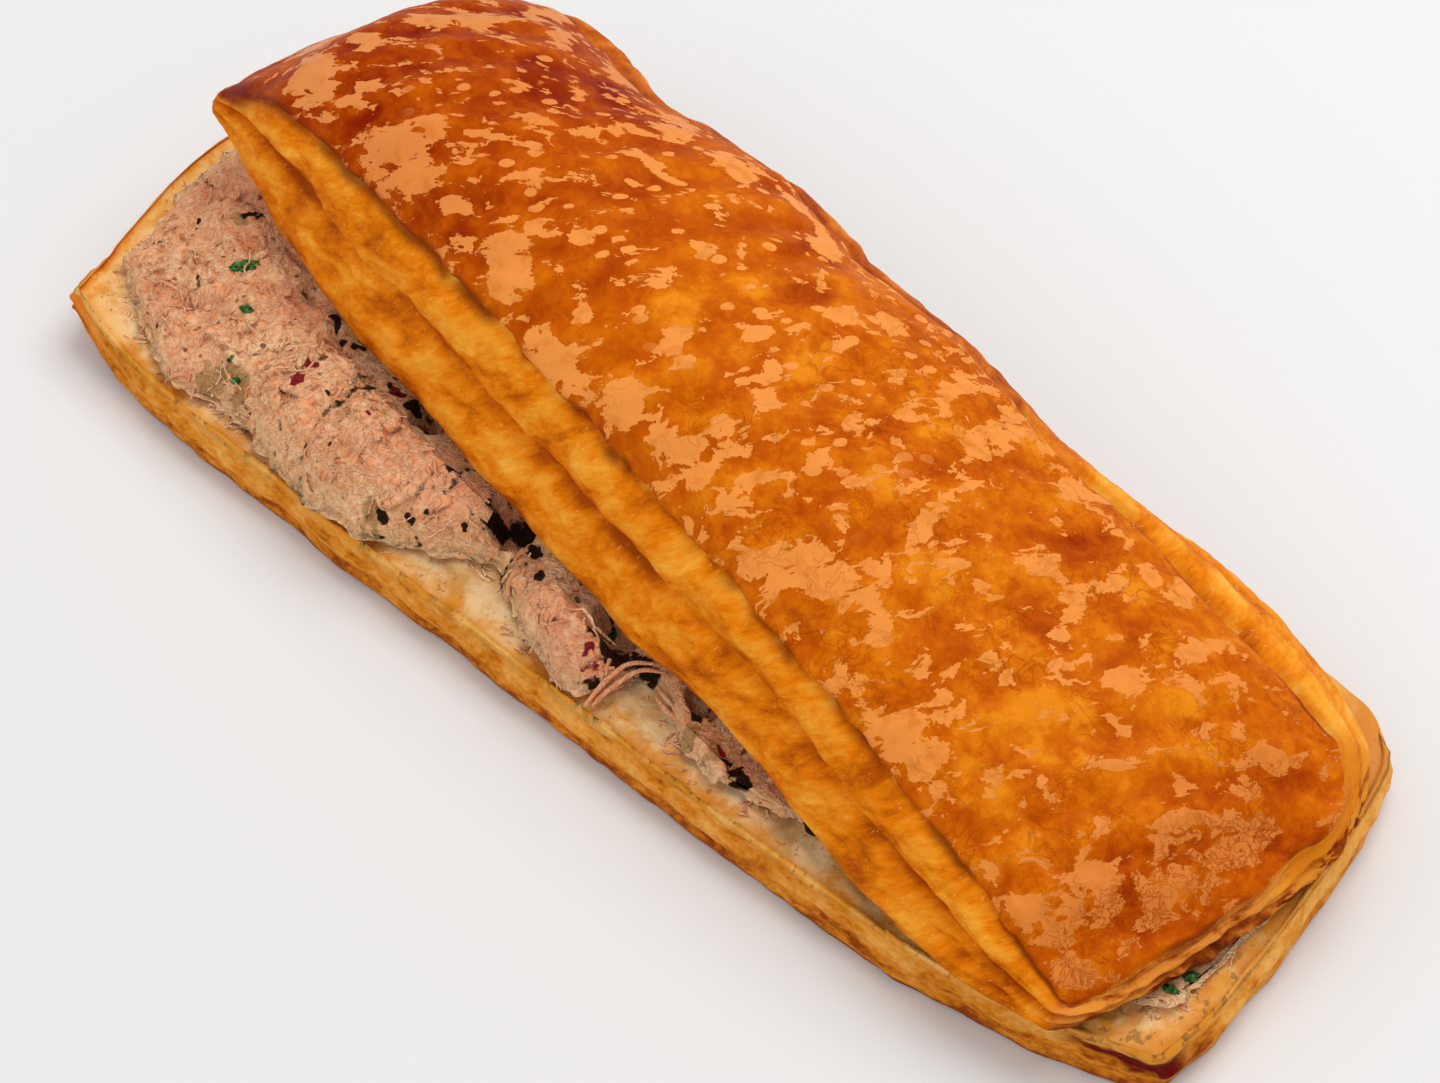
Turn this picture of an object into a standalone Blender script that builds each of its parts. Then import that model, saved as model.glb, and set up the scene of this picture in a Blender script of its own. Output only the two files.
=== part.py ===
"""Tuna pie: a long puff pastry case split lengthwise, a slab below, tuna between, and a puffed lid set askew."""

import math
import random

import bmesh
import bpy
from mathutils import Matrix, Vector, noise

# All sizes are in metres. +X runs along the case, -Y is the side that the lid leaves open, +Z is up.
GAP = 0.0003  # clearance between pieces that touch
EDGE_PASSES = 3  # rounds that settle a place between two pairs of curved edges

# Bottom pastry
BASE_THICKNESS = 0.0072
BASE_NEAR_EDGE = ((-0.082, -0.0222), (-0.067, -0.0257), (-0.038, -0.0279), (0.0, -0.0298), (0.046, -0.0315),
                  (0.067, -0.0296), (0.083, -0.0252))  # x, y of the open side
BASE_FAR_EDGE = ((-0.085, 0.0300), (0.020, 0.0310), (0.050, 0.0302), (0.068, 0.0280), (0.082, 0.0250))
BASE_LEFT_END = ((-0.0225, -0.0813), (-0.0155, -0.0834), (-0.007, -0.0852), (0.003, -0.0864),
                 (0.030, -0.0862))  # y, x
BASE_RIGHT_END = ((-0.025, 0.0820), (-0.016, 0.0830), (-0.004, 0.0826), (0.010, 0.0816), (0.028, 0.0785))
BASE_CORNER_RADII = (0.0006, 0.0060, 0.0045, 0.0014)  # near left, far right, far left, near right
BASE_PLAN = (0.164, 0.058, BASE_CORNER_RADII)  # the length and width that its corners are rounded on
BASE_WIDEST = 0.45  # share of the height at which its sides stand out most
BASE_TUCK = (0.0024, 0.0035)  # how fast the sides draw in below and above that line
BASE_LAYER_RELIEF = 0.0004
BASE_LAYER_WAVE = 13.0  # radians of layering through the height
BASE_EDGE_WAVE = 0.0005
BASE_BUMP = (0.0007, 0.0062, 0.0009)  # height, size and greatest depth of the crumb's bumps on its top
BASE_OPEN_TOP = (0.009, 0.013)  # the bumps fade between these distances from the open side
BASE_CURLS = (  # corner x, corner y, height that it curls up, reach of the curl, thickness kept at the tip
    (-0.0803, -0.0227, 0.0052, 0.0140, 0.55),
    (0.0820, -0.0255, 0.0012, 0.0100, 0.85),
    (-0.0860, 0.0050, 0.0010, 0.0220, 1.0),
)
BASE_SPLIT = (0.064, 0.080, 0.0016, 0.13)  # x where the layers begin to part and are parted, depth, share of height

# Lid: its own frame has t along the near edge and w across it, from the near left corner of the crust
LID_CORNER = (-0.0797, 0.0048)
LID_YAW = math.radians(-12.5)
LID_LENGTH = 0.1546
LID_WIDTH = ((0.0, 0.0400), (0.022, 0.0399), (0.032, 0.0380), (0.045, 0.0400), (0.060, 0.0413), (0.072, 0.0402),
             (0.090, 0.0416), (0.107, 0.0403), (0.120, 0.0420), (0.156, 0.0426))  # t, w of the crust's far edge
LID_LEFT_SLANT = (0.0085, 2.2)  # how far the left end draws back at the far side, and how suddenly
LID_PLAN = (LID_LENGTH, 0.043, (0.0006, 0.0100, 0.0095, 0.0015))  # its corners as on the bottom pastry
LID_END_BOW = (0.0030, 0.024, 0.026)  # how far the right end bows out, where across, and the half width of the bow
LID_NEAR_HEIGHT = ((0.0, 0.0222), (0.005, 0.0255), (0.014, 0.0305), (0.050, 0.0305), (0.076, 0.0285),
                   (0.112, 0.0240), (0.134, 0.0188), (0.146, 0.0150), (0.156, 0.0108))  # t, z of the crust's edge
LID_FAR_HEIGHT = ((0.0, 0.0186), (0.020, 0.0230), (0.060, 0.0265), (0.100, 0.0250), (0.125, 0.0205),
                  (0.150, 0.0165))
LID_DOME = ((0.0, 0.0050), (0.012, 0.0066), (0.035, 0.0085), (0.080, 0.0082), (0.120, 0.0062), (0.147, 0.0042),
            (0.156, 0.0024))  # t, rise of the crust between its edges
LID_ARCH = (2.2, 0.85)  # exponents of the dome's section: how flat its top is and how soft its edges are
LID_UNDERSIDE = ((0.0, 0.0142), (0.066, 0.0136), (0.108, 0.0092), (0.160, 0.0086))
LID_DROOP = ((0.0, 0.0), (0.112, 0.0), (0.128, 0.0009), (0.156, 0.0009))  # t, how far its rim sinks to the slab
LID_RIM = 0.0004  # width of that rim inside the line of the crust's edge
LID_PINCH = (0.0058, 0.016)  # how far the underside rises to the near left corner, and its reach
LID_NEAR_LEAN = ((0.0, 0.0020), (0.013, 0.0039), (0.025, 0.0058), (0.040, 0.0071), (0.098, 0.0068), (0.110, 0.0058),
                 (0.130, 0.0062), (0.144, 0.0048), (0.156, 0.0008))  # t, how far the near side runs out to its foot
LID_FAR_LEAN = ((0.0, 0.0030), (0.020, 0.0050), (0.095, 0.0055), (0.111, 0.0090), (0.134, 0.0102), (0.148, 0.0065),
                (0.156, 0.0020))
LID_END_LEAN = 0.0006
LID_FULLNESS = (0.85, 0.60)  # how full the lean is on the near and the far side, full below 1
LID_FOOT_TUCK = (0.0018, 0.12)  # how far the foot draws in, over this share of the height
LID_SWELLS = ((0.0006, 0.24, 0.12), (0.0005, 0.78, 0.14), (-0.0010, 0.53, 0.07))  # relief, share of height, spread
LID_SIDE_WAVE = 0.0006
LID_RIPPLE = (0.00030, 0.0085, 0.55)  # height, pitch and slant of the ripples across the crust
LID_BLISTER = 0.0007

# Filling
FILLING_NEAR_EDGE = ((-0.0815, -0.0130), (-0.074, -0.0182), (-0.062, -0.0238), (-0.052, -0.0232), (-0.040, -0.0270),
                     (-0.032, -0.0274), (-0.022, -0.0246), (-0.014, -0.0205), (-0.006, -0.0250), (0.005, -0.0280),
                     (0.010, -0.0215), (0.020, -0.0262), (0.038, -0.0258), (0.060, -0.0258), (0.0795, -0.0190))
FILLING_LEFT_END = ((-0.014, -0.0795), (0.000, -0.0824), (0.025, -0.0816))
FILLING_RIGHT_END = ((-0.024, 0.0770), (-0.014, 0.0795), (-0.004, 0.0795), (0.012, 0.0765), (0.026, 0.0715))
FILLING_FAR_INSET = 0.0050  # in from the far edge of the bottom pastry
FILLING_PLAN = (0.158, 0.052, (0.0030, 0.0090, 0.0060, 0.0030))  # its corners as on the bottom pastry
FILLING_HEAP = ((-0.080, 0.0028), (-0.060, 0.0038), (-0.046, 0.0062), (-0.030, 0.0066), (-0.014, 0.0046),
                (0.0, 0.0056), (0.012, 0.0036), (0.030, 0.0026), (0.060, 0.0016), (0.080, 0.0014))  # x, depth
FILLING_HOLLOWS = ((-0.0440, -0.0070, 0.0022, 0.0030), (-0.0310, -0.0118, 0.0030, 0.0040),
                   (-0.0145, -0.0165, 0.0032, 0.0050), (0.0040, -0.0200, 0.0034, 0.0045),
                   (0.0175, -0.0205, 0.0026, 0.0035), (0.0265, -0.0245, 0.0026, 0.0035),
                   (0.0385, -0.0262, 0.0024, 0.0025))  # x, y, radius and depth of the gaps beside the lid's foot
FILLING_RISE = (0.0018, 0.004, 0.012)  # how much deeper it is between these distances from its edge
FILLING_SHOULDER = (0.0050, 0.16)  # it reaches its full depth this far in from its edge, from this share of it
FILLING_LEAST = 0.0006  # its least depth
FILLING_BELLY = 0.0007  # its edge stands out by this at mid height
FILLING_LUMP = 0.0015
OPEN_SHARE = 0.6  # share of the block's rows that lie in the open part of the filling
FILLING_SEED = 7
SHRED_COUNT = 44
SHRED_TRIES = 30
SHRED_SPAN = (-0.079, 0.030)  # x of the first and last
SHRED_SIDES = (-0.029, 0.004)  # y between which they lie
SHRED_LENGTH = (0.0055, 0.0115)
SHRED_WIDTH = (0.0010, 0.0017)
SHRED_THICKNESS = 0.0009
OPEN_MARGIN = (0.0022, 0.0016)  # they keep this far from the lid's foot and from the filling's edge
PARSLEY = ((-0.0638, -0.0090, 0.0033), (-0.0582, -0.0144, 0.0018), (-0.0556, -0.0196, 0.0018),
           (0.0033, -0.0209, 0.0022), (0.0782, -0.0162, 0.0026))  # x, y, length of each leaf
PARSLEY_SHAPE = (0.6, 0.0008)  # width as a share of the length, and thickness

PLAN_CENTRE = (-0.00156, 0.00677)  # centre of the whole pie's outline, which becomes the origin


def smooth(low, high, value):
    share = min(max((value - low) / (high - low), 0.0), 1.0)
    return share * share * (3 - 2 * share)


def through(stations, at):
    """Height of the smooth curve through the (place, height) stations."""
    last = len(stations) - 1
    index = 0
    while index < last - 1 and at > stations[index + 1][0]:
        index += 1
    (x0, y0), (x1, y1) = stations[index], stations[index + 1]
    step = x1 - x0
    before = stations[max(index - 1, 0)]
    after = stations[min(index + 2, last)]
    slope0 = (y1 - before[1]) / (x1 - before[0]) * step
    slope1 = (after[1] - y0) / (after[0] - x0) * step
    s = (at - x0) / step
    if s < 0:
        return y0 + slope0 * s
    if s > 1:
        return y1 + slope1 * (s - 1)
    return (y0 * (1 + 2 * s) * (1 - s) ** 2 + slope0 * s * (1 - s) ** 2
            + y1 * s * s * (3 - 2 * s) - slope1 * s * s * (1 - s))


def straight(stations, at):
    """Height of the broken line through the stations."""
    for (x0, y0), (x1, y1) in zip(stations, stations[1:]):
        if at <= x1:
            break
    return y0 + (y1 - y0) * (at - x0) / (x1 - x0)


def rough(x, y, z, size, seed=0.0):
    """Smooth noise between about -1 and 1 with features of the given size."""
    return noise.noise(Vector((x / size + seed, y / size - seed, z / size + 2.7 * seed)))


def new_material(name, colour, roughness, coat=0.0):
    material = bpy.data.materials.new(name)
    material.use_nodes = True
    shader = material.node_tree.nodes["Principled BSDF"]
    shader.inputs["Base Color"].default_value = (*colour, 1.0)
    shader.inputs["Roughness"].default_value = roughness
    shader.inputs["Metallic"].default_value = 0.0
    shader.inputs["Coat Weight"].default_value = coat
    return material


def cut_block(columns, rows, levels):
    """A block from 0 to 1 on each axis, its faces cut along the given fractions."""
    block = bmesh.new()
    bmesh.ops.create_cube(block, size=1.0, matrix=Matrix.Translation((0.5, 0.5, 0.5)))
    for axis, cuts in zip((Vector((1, 0, 0)), Vector((0, 1, 0)), Vector((0, 0, 1))), (columns, rows, levels)):
        for cut in cuts:
            everything = block.verts[:] + block.edges[:] + block.faces[:]
            bmesh.ops.bisect_plane(block, geom=everything, dist=1e-7, plane_co=axis * cut, plane_no=axis)
    return block


def even(count, low=0.0, high=1.0):
    """The cuts that divide low to high into so many equal parts."""
    return [low + (high - low) * i / count for i in range(1, count)]


def shaped(name, block, shape, material, collection, flat_angle=0.4):
    """Moves each corner of the block to shape(a, b, c), joins what lies flat, and makes it an object."""
    for vert in block.verts:
        vert.co = shape(*vert.co)
    bmesh.ops.dissolve_limit(block, angle_limit=math.radians(flat_angle), verts=block.verts, edges=block.edges)
    bmesh.ops.triangulate(block, faces=block.faces)
    bmesh.ops.recalc_face_normals(block, faces=block.faces)
    mesh = bpy.data.meshes.new(name)
    block.to_mesh(mesh)
    block.free()
    mesh.shade_smooth()
    mesh.set_sharp_from_angle(angle=math.radians(50))
    mesh.materials.append(material)
    piece = bpy.data.objects.new(name, mesh)
    collection.objects.link(piece)
    return piece


def past_corner(a, b, length, width, radii):
    """The sides that this place is nearest to, their corner's radius, and how far it lies past its centre."""
    side_a, side_b = (1 if a > 0.5 else -1), (1 if b > 0.5 else -1)
    radius = radii[{(-1, -1): 0, (1, 1): 1, (-1, 1): 2, (1, -1): 3}[(side_a, side_b)]]
    past_a = abs(a - 0.5) * length - (length / 2 - radius)
    past_b = abs(b - 0.5) * width - (width / 2 - radius)
    return side_a, side_b, radius, past_a, past_b


def rounded(a, b, length, width, radii):
    """The block's plan place with its near left, far right, far left and near right corners rounded."""
    side_a, side_b, radius, past_a, past_b = past_corner(a, b, length, width, radii)
    if past_a <= 0 or past_b <= 0:
        return a, b
    pull = max(past_a, past_b) / math.hypot(past_a, past_b)
    a = 0.5 + side_a * (length / 2 - radius + past_a * pull) / length
    b = 0.5 + side_b * (width / 2 - radius + past_b * pull) / width
    return a, b


def outward(a, b, length, width, radii):
    """The way out at a side of the block, turning round its corners, and nothing inside it."""
    out_a, out_b = (a > 0.9999) - (a < 0.0001), (b > 0.9999) - (b < 0.0001)
    side_a, side_b, _, past_a, past_b = past_corner(a, b, length, width, radii)
    if (out_a or out_b) and past_a > 0 and past_b > 0:
        reach = math.hypot(past_a, past_b)
        return side_a * past_a / reach, side_b * past_b / reach
    return float(out_a), float(out_b)


# Bottom pastry

def base_plan(a, b):
    """x and y of a place on the bottom pastry, a along it and b from the open side to the far side."""
    a, b = rounded(a, b, *BASE_PLAN)
    x = BASE_LEFT_END[0][1] + BASE_PLAN[0] * a
    y = BASE_NEAR_EDGE[0][1] + BASE_PLAN[1] * b
    for _ in range(EDGE_PASSES):
        near, far = through(BASE_NEAR_EDGE, x), through(BASE_FAR_EDGE, x)
        y = near + (far - near) * b
        left, right = through(BASE_LEFT_END, y), through(BASE_RIGHT_END, y)
        x = left + (right - left) * a
    return x, y


def base_curl(x, y):
    """How far the bottom pastry curls up here, and the share of its thickness that it keeps."""
    lift, kept = 0.0, 1.0
    for corner_x, corner_y, height, reach, thickness in BASE_CURLS:
        near = 1 - min(math.hypot(x - corner_x, y - corner_y) / reach, 1.0)
        lift += height * near * near
        kept -= (1 - thickness) * near * near
    return lift, kept


def base_shape(a, b, c):
    out_a, out_b = outward(a, b, *BASE_PLAN)
    x, y = base_plan(a, b)
    lift, kept = base_curl(x, y)
    depth = BASE_THICKNESS * kept
    if out_a or out_b:
        tuck = BASE_TUCK[0] * max(BASE_WIDEST - c, 0.0) ** 2 + BASE_TUCK[1] * max(c - BASE_WIDEST, 0.0) ** 2
        layers = BASE_LAYER_RELIEF * math.sin(c * BASE_LAYER_WAVE + 4 * rough(x, y, 0, 0.03))
        waves = BASE_EDGE_WAVE * rough(x, y, c * 0.004, 0.009)
        parted, open_from, split_depth, split_height = BASE_SPLIT
        split = split_depth * smooth(parted, open_from, x) * math.exp(-((c - 0.5) / split_height) ** 2)
        push = layers * math.sin(math.pi * c) + waves - tuck + split * min(out_b, 0.0)
        x += push * out_a
        y += push * out_b
    elif c > 0.999:
        height, size, deepest = BASE_BUMP
        bumps = height * (abs(rough(x, y, 0, size)) + 0.4 * abs(rough(x, y, 0, size / 2, 3)))
        depth -= min(bumps, deepest) * (1 - smooth(*BASE_OPEN_TOP, b * BASE_PLAN[1]))
    return Vector((x, y, lift + c * depth))


# Lid

def lid_end(w):
    """How far the right end bows out past its corners here."""
    bow, middle, reach = LID_END_BOW
    return bow * (1 - ((w - middle) / reach) ** 2)


def lid_place(t, w):
    """x and y of a place in the lid's own frame."""
    return (LID_CORNER[0] + t * math.cos(LID_YAW) - w * math.sin(LID_YAW),
            LID_CORNER[1] + t * math.sin(LID_YAW) + w * math.cos(LID_YAW))


def lid_frame(x, y):
    """t and w of a place in the pie's frame."""
    dx, dy = x - LID_CORNER[0], y - LID_CORNER[1]
    return (dx * math.cos(LID_YAW) + dy * math.sin(LID_YAW), dy * math.cos(LID_YAW) - dx * math.sin(LID_YAW))


def lid_underside(t):
    """Height of the underside, without its rim."""
    return straight(LID_UNDERSIDE, t)


def lid_rim(t, w, b):
    """How the underside's rim departs from it: up to the pinched corner, and down along both sides."""
    pinch, pinch_reach = LID_PINCH
    inset = min(b, 1 - b) * through(LID_WIDTH, t)
    droop = straight(LID_DROOP, t) * (1 - smooth(0.0, LID_RIM, inset))
    return pinch * (1 - smooth(0.0, pinch_reach, math.hypot(max(t, 0.0), 1.4 * max(w, 0.0)))) - droop


def lid_edge_height(t, b):
    """Height of the crust's edge, or of the straight line between its two edges."""
    near, far = through(LID_NEAR_HEIGHT, t), through(LID_FAR_HEIGHT, t)
    return near + (far - near) * b


def lid_crust(t, w, b):
    """Height of the glazed crust: its edges, the dome between them, ripples across it and blisters."""
    flat, soft = LID_ARCH
    arch = (1 - abs(2 * b - 1) ** flat) ** soft
    end = smooth(-0.001, 0.012, t) * (1 - 0.75 * smooth(LID_LENGTH - 0.006, LID_LENGTH + 0.002, t))
    dome = through(LID_DOME, min(t, LID_LENGTH)) * arch * (0.3 + 0.7 * end)
    ripple_height, pitch, slant = LID_RIPPLE
    crest = t - slant * w + 0.0025 * rough(t, w, 0, 0.030)
    ripple = math.sin(crest * math.tau / pitch + 4 * rough(t, w, 0, 0.022, 5))
    ripple *= ripple_height * (0.6 + 0.8 * rough(t, w, 0, 0.018, 11))
    blister = LID_BLISTER * (rough(t, 0.7 * w, 0, 0.012, 2) + 0.5 * rough(t, w, 0, 0.0055, 4))
    return lid_edge_height(t, b) + dome + (ripple + blister) * smooth(0.0, 0.30, arch)


def lid_side(c, lean, fullness):
    """How far the side stands out at this level: a bulging foot, a groove, and the upper layers."""
    tuck, tuck_height = LID_FOOT_TUCK
    foot = tuck * (max(tuck_height - c, 0.0) / tuck_height) ** 2
    relief = sum(height * math.exp(-((c - level) / spread) ** 2) for height, level, spread in LID_SWELLS)
    return lean * min((1 - c) / (1 - tuck_height), 1.0) ** fullness - foot + relief


def lid_lean(t, out_a, out_b):
    """How far the side that faces this way runs out from the crust to its foot."""
    sideways = through(LID_FAR_LEAN if out_b > 0 else LID_NEAR_LEAN, t)
    return sideways * out_b * out_b + LID_END_LEAN * out_a * out_a


def lid_shape(a, b, c):
    out_a, out_b = outward(a, b, *LID_PLAN)
    a, b = rounded(a, b, *LID_PLAN)
    start = LID_LEFT_SLANT[0] * b ** LID_LEFT_SLANT[1]
    t = start + a * (LID_LENGTH + lid_end(b * LID_PLAN[1]) - start)
    w = b * through(LID_WIDTH, t)
    foot = lid_underside(t) + lid_rim(t, w, b)
    if c > 0.999:
        z = lid_crust(t, w, b)
    else:
        z = foot + c * (lid_edge_height(t, b) - foot)
    if out_a or out_b:
        push = lid_side(c, lid_lean(t, out_a, out_b), LID_FULLNESS[out_b > 0])
        push += (1 - c) * LID_SIDE_WAVE * rough(t, w, 0.012 * c, 0.010, 6)
        t += push * out_a
        w += push * out_b
    x, y = lid_place(t, w)
    return Vector((x, y, z))


def lid_clearance(x, y):
    """How far a place lies outside the foot of the lid, below nothing when it is under it."""
    t, w = lid_frame(x, y)
    near, far = through(LID_NEAR_LEAN, t), through(LID_FAR_LEAN, t)
    return max(-near - w, w - through(LID_WIDTH, t) - far, -LID_END_LEAN - t,
               t - LID_LENGTH - lid_end(w) - LID_END_LEAN)


# Filling

def filling_bed(x, y):
    """Height at which the filling lies on the bottom pastry."""
    lift, kept = base_curl(x, y)
    return lift + BASE_THICKNESS * kept + GAP


def heap_height(x, y, inset):
    """Height of the tuna: an uneven heap, held down under the lid."""
    bed = filling_bed(x, y)
    shoulder_width, edge_share = FILLING_SHOULDER
    shoulder = min(max(inset, 0.0) / shoulder_width, 1.0)
    rise, rise_from, rise_to = FILLING_RISE
    depth = through(FILLING_HEAP, x) + rise * smooth(rise_from, rise_to, inset)
    depth *= edge_share + (1 - edge_share) * math.sqrt(1 - (1 - shoulder) ** 2)
    lumps = FILLING_LUMP * (rough(x, y, 0, 0.0085, 8) + 0.55 * rough(x, y, 0, 0.0042, 9))
    free = bed + max(depth + lumps * (0.35 + 0.65 * shoulder), FILLING_LEAST)
    t, w = lid_frame(x, y)
    clearance = lid_clearance(x, y)
    ceiling = lid_underside(t) - 1.6 * GAP + 1.3 * max(clearance - 0.0012, 0.0)
    ceiling -= straight(LID_DROOP, t) * smooth(-0.0080, -0.0020, clearance)
    packed = smooth(-0.001, 0.004, -clearance) * smooth(0.002, 0.009, inset)
    height = min(free + max(ceiling - free, 0.0) * packed, ceiling)
    for hollow_x, hollow_y, radius, drop in FILLING_HOLLOWS:
        height -= drop * max(1 - ((x - hollow_x) ** 2 + (y - hollow_y) ** 2) / radius ** 2, 0.0)
    return max(height, bed + FILLING_LEAST)


def filling_split(x):
    """y of the line just under the lid's near foot, or of the middle where the lid covers all of the filling."""
    near = through(FILLING_NEAR_EDGE, x)
    edge = LID_CORNER[1] + (x - LID_CORNER[0]) * math.tan(LID_YAW)
    t, _ = lid_frame(x, edge)
    foot = edge - through(LID_NEAR_LEAN, t) / math.cos(LID_YAW)
    return max(foot + 0.0020, near + 0.0040)


def filling_plan(a, b):
    a, b = rounded(a, b, *FILLING_PLAN)
    x, y = FILLING_LEFT_END[0][1] + FILLING_PLAN[0] * a, 0.0
    for _ in range(EDGE_PASSES):
        near, split = through(FILLING_NEAR_EDGE, x), filling_split(x)
        far = through(BASE_FAR_EDGE, x) - FILLING_FAR_INSET
        y = near + (split - near) * min(b / OPEN_SHARE, 1.0)
        y += (far - split) * max(b - OPEN_SHARE, 0.0) / (1 - OPEN_SHARE)
        left, right = through(FILLING_LEFT_END, y), through(FILLING_RIGHT_END, y)
        x = left + (right - left) * a
    return x, y


def filling_inset(x, y):
    """How far a place lies in from the edge of the filling."""
    near, far = through(FILLING_NEAR_EDGE, x), through(BASE_FAR_EDGE, x) - FILLING_FAR_INSET
    left, right = through(FILLING_LEFT_END, y), through(FILLING_RIGHT_END, y)
    return min(y - near, x - left, right - x, far - y)


def filling_shape(a, b, c):
    x, y = filling_plan(a, b)
    bed = filling_bed(x, y)
    z = bed + c * (heap_height(x, y, filling_inset(x, y)) - bed)
    out_a, out_b = outward(a, b, *FILLING_PLAN)
    if 0.001 < c < 0.999:
        x += FILLING_BELLY * out_a
        y += FILLING_BELLY * out_b
    return Vector((x, y, z))


def fleck(x, y, length, width, thickness, turn, bend, segments):
    """A strip or leaf that follows the heap, half sunk in it, as a closed mesh."""
    strip = cut_block(even(segments), [], [])
    for vert in strip.verts:
        a, b, c = vert.co
        along = (a - 0.5) * length
        across = (b - 0.5) * width * (1 - 0.75 * abs(2 * a - 1) ** 2)
        sway = bend * length * ((2 * a - 1) ** 2 - 0.4)
        px = x + along * math.cos(turn) - (across + sway) * math.sin(turn)
        py = y + along * math.sin(turn) + (across + sway) * math.cos(turn)
        inset = filling_inset(px, py)
        top = heap_height(px, py, inset)
        z = max(top - 0.4 * thickness, filling_bed(px, py) + GAP) + c * thickness
        vert.co = (px, py, z)
    bmesh.ops.recalc_face_normals(strip, faces=strip.faces)
    mesh = bpy.data.meshes.new("fleck")
    strip.to_mesh(mesh)
    strip.free()
    return bpy.data.objects.new("fleck", mesh)


def keep_largest_body(mesh):
    """Drops the loose scraps and fills the sealed hollows that a union leaves."""
    work = bmesh.new()
    work.from_mesh(mesh)
    bodies, left = [], set(work.faces)
    while left:
        body = [left.pop()]
        for face in body:
            nearby = {other for edge in face.edges if len(edge.link_faces) == 2 for other in edge.link_faces} & left
            left -= nearby
            body.extend(nearby)
        bodies.append(body)
    bodies.sort(key=len)
    bmesh.ops.delete(work, geom=[face for body in bodies[:-1] for face in body], context="FACES")
    work.to_mesh(mesh)
    work.free()


def open_tuna(x, y):
    """Whether the filling lies open here, clear of the lid and in from its own edge."""
    return lid_clearance(x, y) > OPEN_MARGIN[0] and filling_inset(x, y) > OPEN_MARGIN[1]


def add_flecks(filling):
    """Fuses the shreds and the parsley that show on the open part of the filling."""
    draw = random.Random(FILLING_SEED)
    flecks = bpy.data.collections.new("flecks")
    for x, y, length in PARSLEY:
        turn = draw.uniform(0, math.pi)
        width, thickness = PARSLEY_SHAPE[0] * length, PARSLEY_SHAPE[1]
        flecks.objects.link(fleck(x, y, length, width, thickness, turn, 0.1, 3))
    for place in range(SHRED_COUNT):
        for _ in range(SHRED_TRIES):
            x = SHRED_SPAN[0] + (SHRED_SPAN[1] - SHRED_SPAN[0]) * (place + draw.random()) / SHRED_COUNT
            y = draw.uniform(*SHRED_SIDES)
            length, turn = draw.uniform(*SHRED_LENGTH), draw.uniform(0, math.pi)
            ends = [(x + s * length * math.cos(turn), y + s * length * math.sin(turn)) for s in (-0.5, 0.0, 0.5)]
            if all(open_tuna(*end) for end in ends):
                width, bend = draw.uniform(*SHRED_WIDTH), draw.uniform(-0.25, 0.25)
                flecks.objects.link(fleck(x, y, length, width, SHRED_THICKNESS, turn, bend, 3))
                break
    join = filling.modifiers.new("flecks", "BOOLEAN")
    join.operation = "UNION"
    join.operand_type = "COLLECTION"
    join.collection = flecks
    join.solver = "EXACT"
    graph = bpy.context.evaluated_depsgraph_get()
    joined = bpy.data.meshes.new_from_object(filling.evaluated_get(graph))
    filling.modifiers.clear()
    filling.data = joined
    keep_largest_body(joined)
    for strip in list(flecks.objects):
        bpy.data.objects.remove(strip)
    bpy.data.collections.remove(flecks)


def build():
    for item in list(bpy.data.objects):
        bpy.data.objects.remove(item)
    pie = bpy.data.collections.new("tuna_pie")
    bpy.context.scene.collection.children.link(pie)
    crumb = new_material("baked_pastry", (0.78, 0.46, 0.16), 0.62)
    crust = new_material("glazed_pastry", (0.62, 0.23, 0.04), 0.28, coat=0.6)
    tuna = new_material("tuna", (0.55, 0.36, 0.29), 0.55)

    base_rows = [0.02, 0.05, 0.09, 0.13, 0.17, 0.21, 0.25, 0.60, 0.90, 0.97]
    base = cut_block([0.006, 0.02] + even(56, 0.02, 0.98) + [0.98, 0.994], base_rows, [0.12, 0.3, 0.5, 0.7, 0.88])
    shaped("bottom_pastry", base, base_shape, crumb, pie)

    lid_rows = [0.012, 0.04, 0.08] + even(18, 0.08, 0.92) + [0.92, 0.96, 0.988]
    lid_columns = [0.004, 0.015, 0.03] + even(56, 0.03, 0.97) + [0.97, 0.985, 0.996]
    lid = cut_block(lid_columns, lid_rows, [0.1, 0.24, 0.38, 0.47, 0.53, 0.6, 0.78])
    shaped("top_pastry", lid, lid_shape, crust, pie)

    heap_rows = even(12, 0.0, OPEN_SHARE) + [OPEN_SHARE, 0.75, 0.92, 0.97]
    heap = cut_block([0.006, 0.014] + even(72, 0.014, 0.986) + [0.986, 0.994], heap_rows, [0.5])
    filling = shaped("tuna_filling", heap, filling_shape, tuna, pie)
    add_flecks(filling)

    for piece in pie.objects:
        piece.data.transform(Matrix.Translation((-PLAN_CENTRE[0], -PLAN_CENTRE[1], 0.0)))


build()
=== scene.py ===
# A tuna pie: a slab of puff pastry, tuna salad on it, and a puffed, egg-glazed lid set askew.
# Metres throughout. +X runs along the pie, -Y is the side that the lid leaves open, +Z is up.
import math

import bmesh
import bpy
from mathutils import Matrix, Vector, noise


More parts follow.
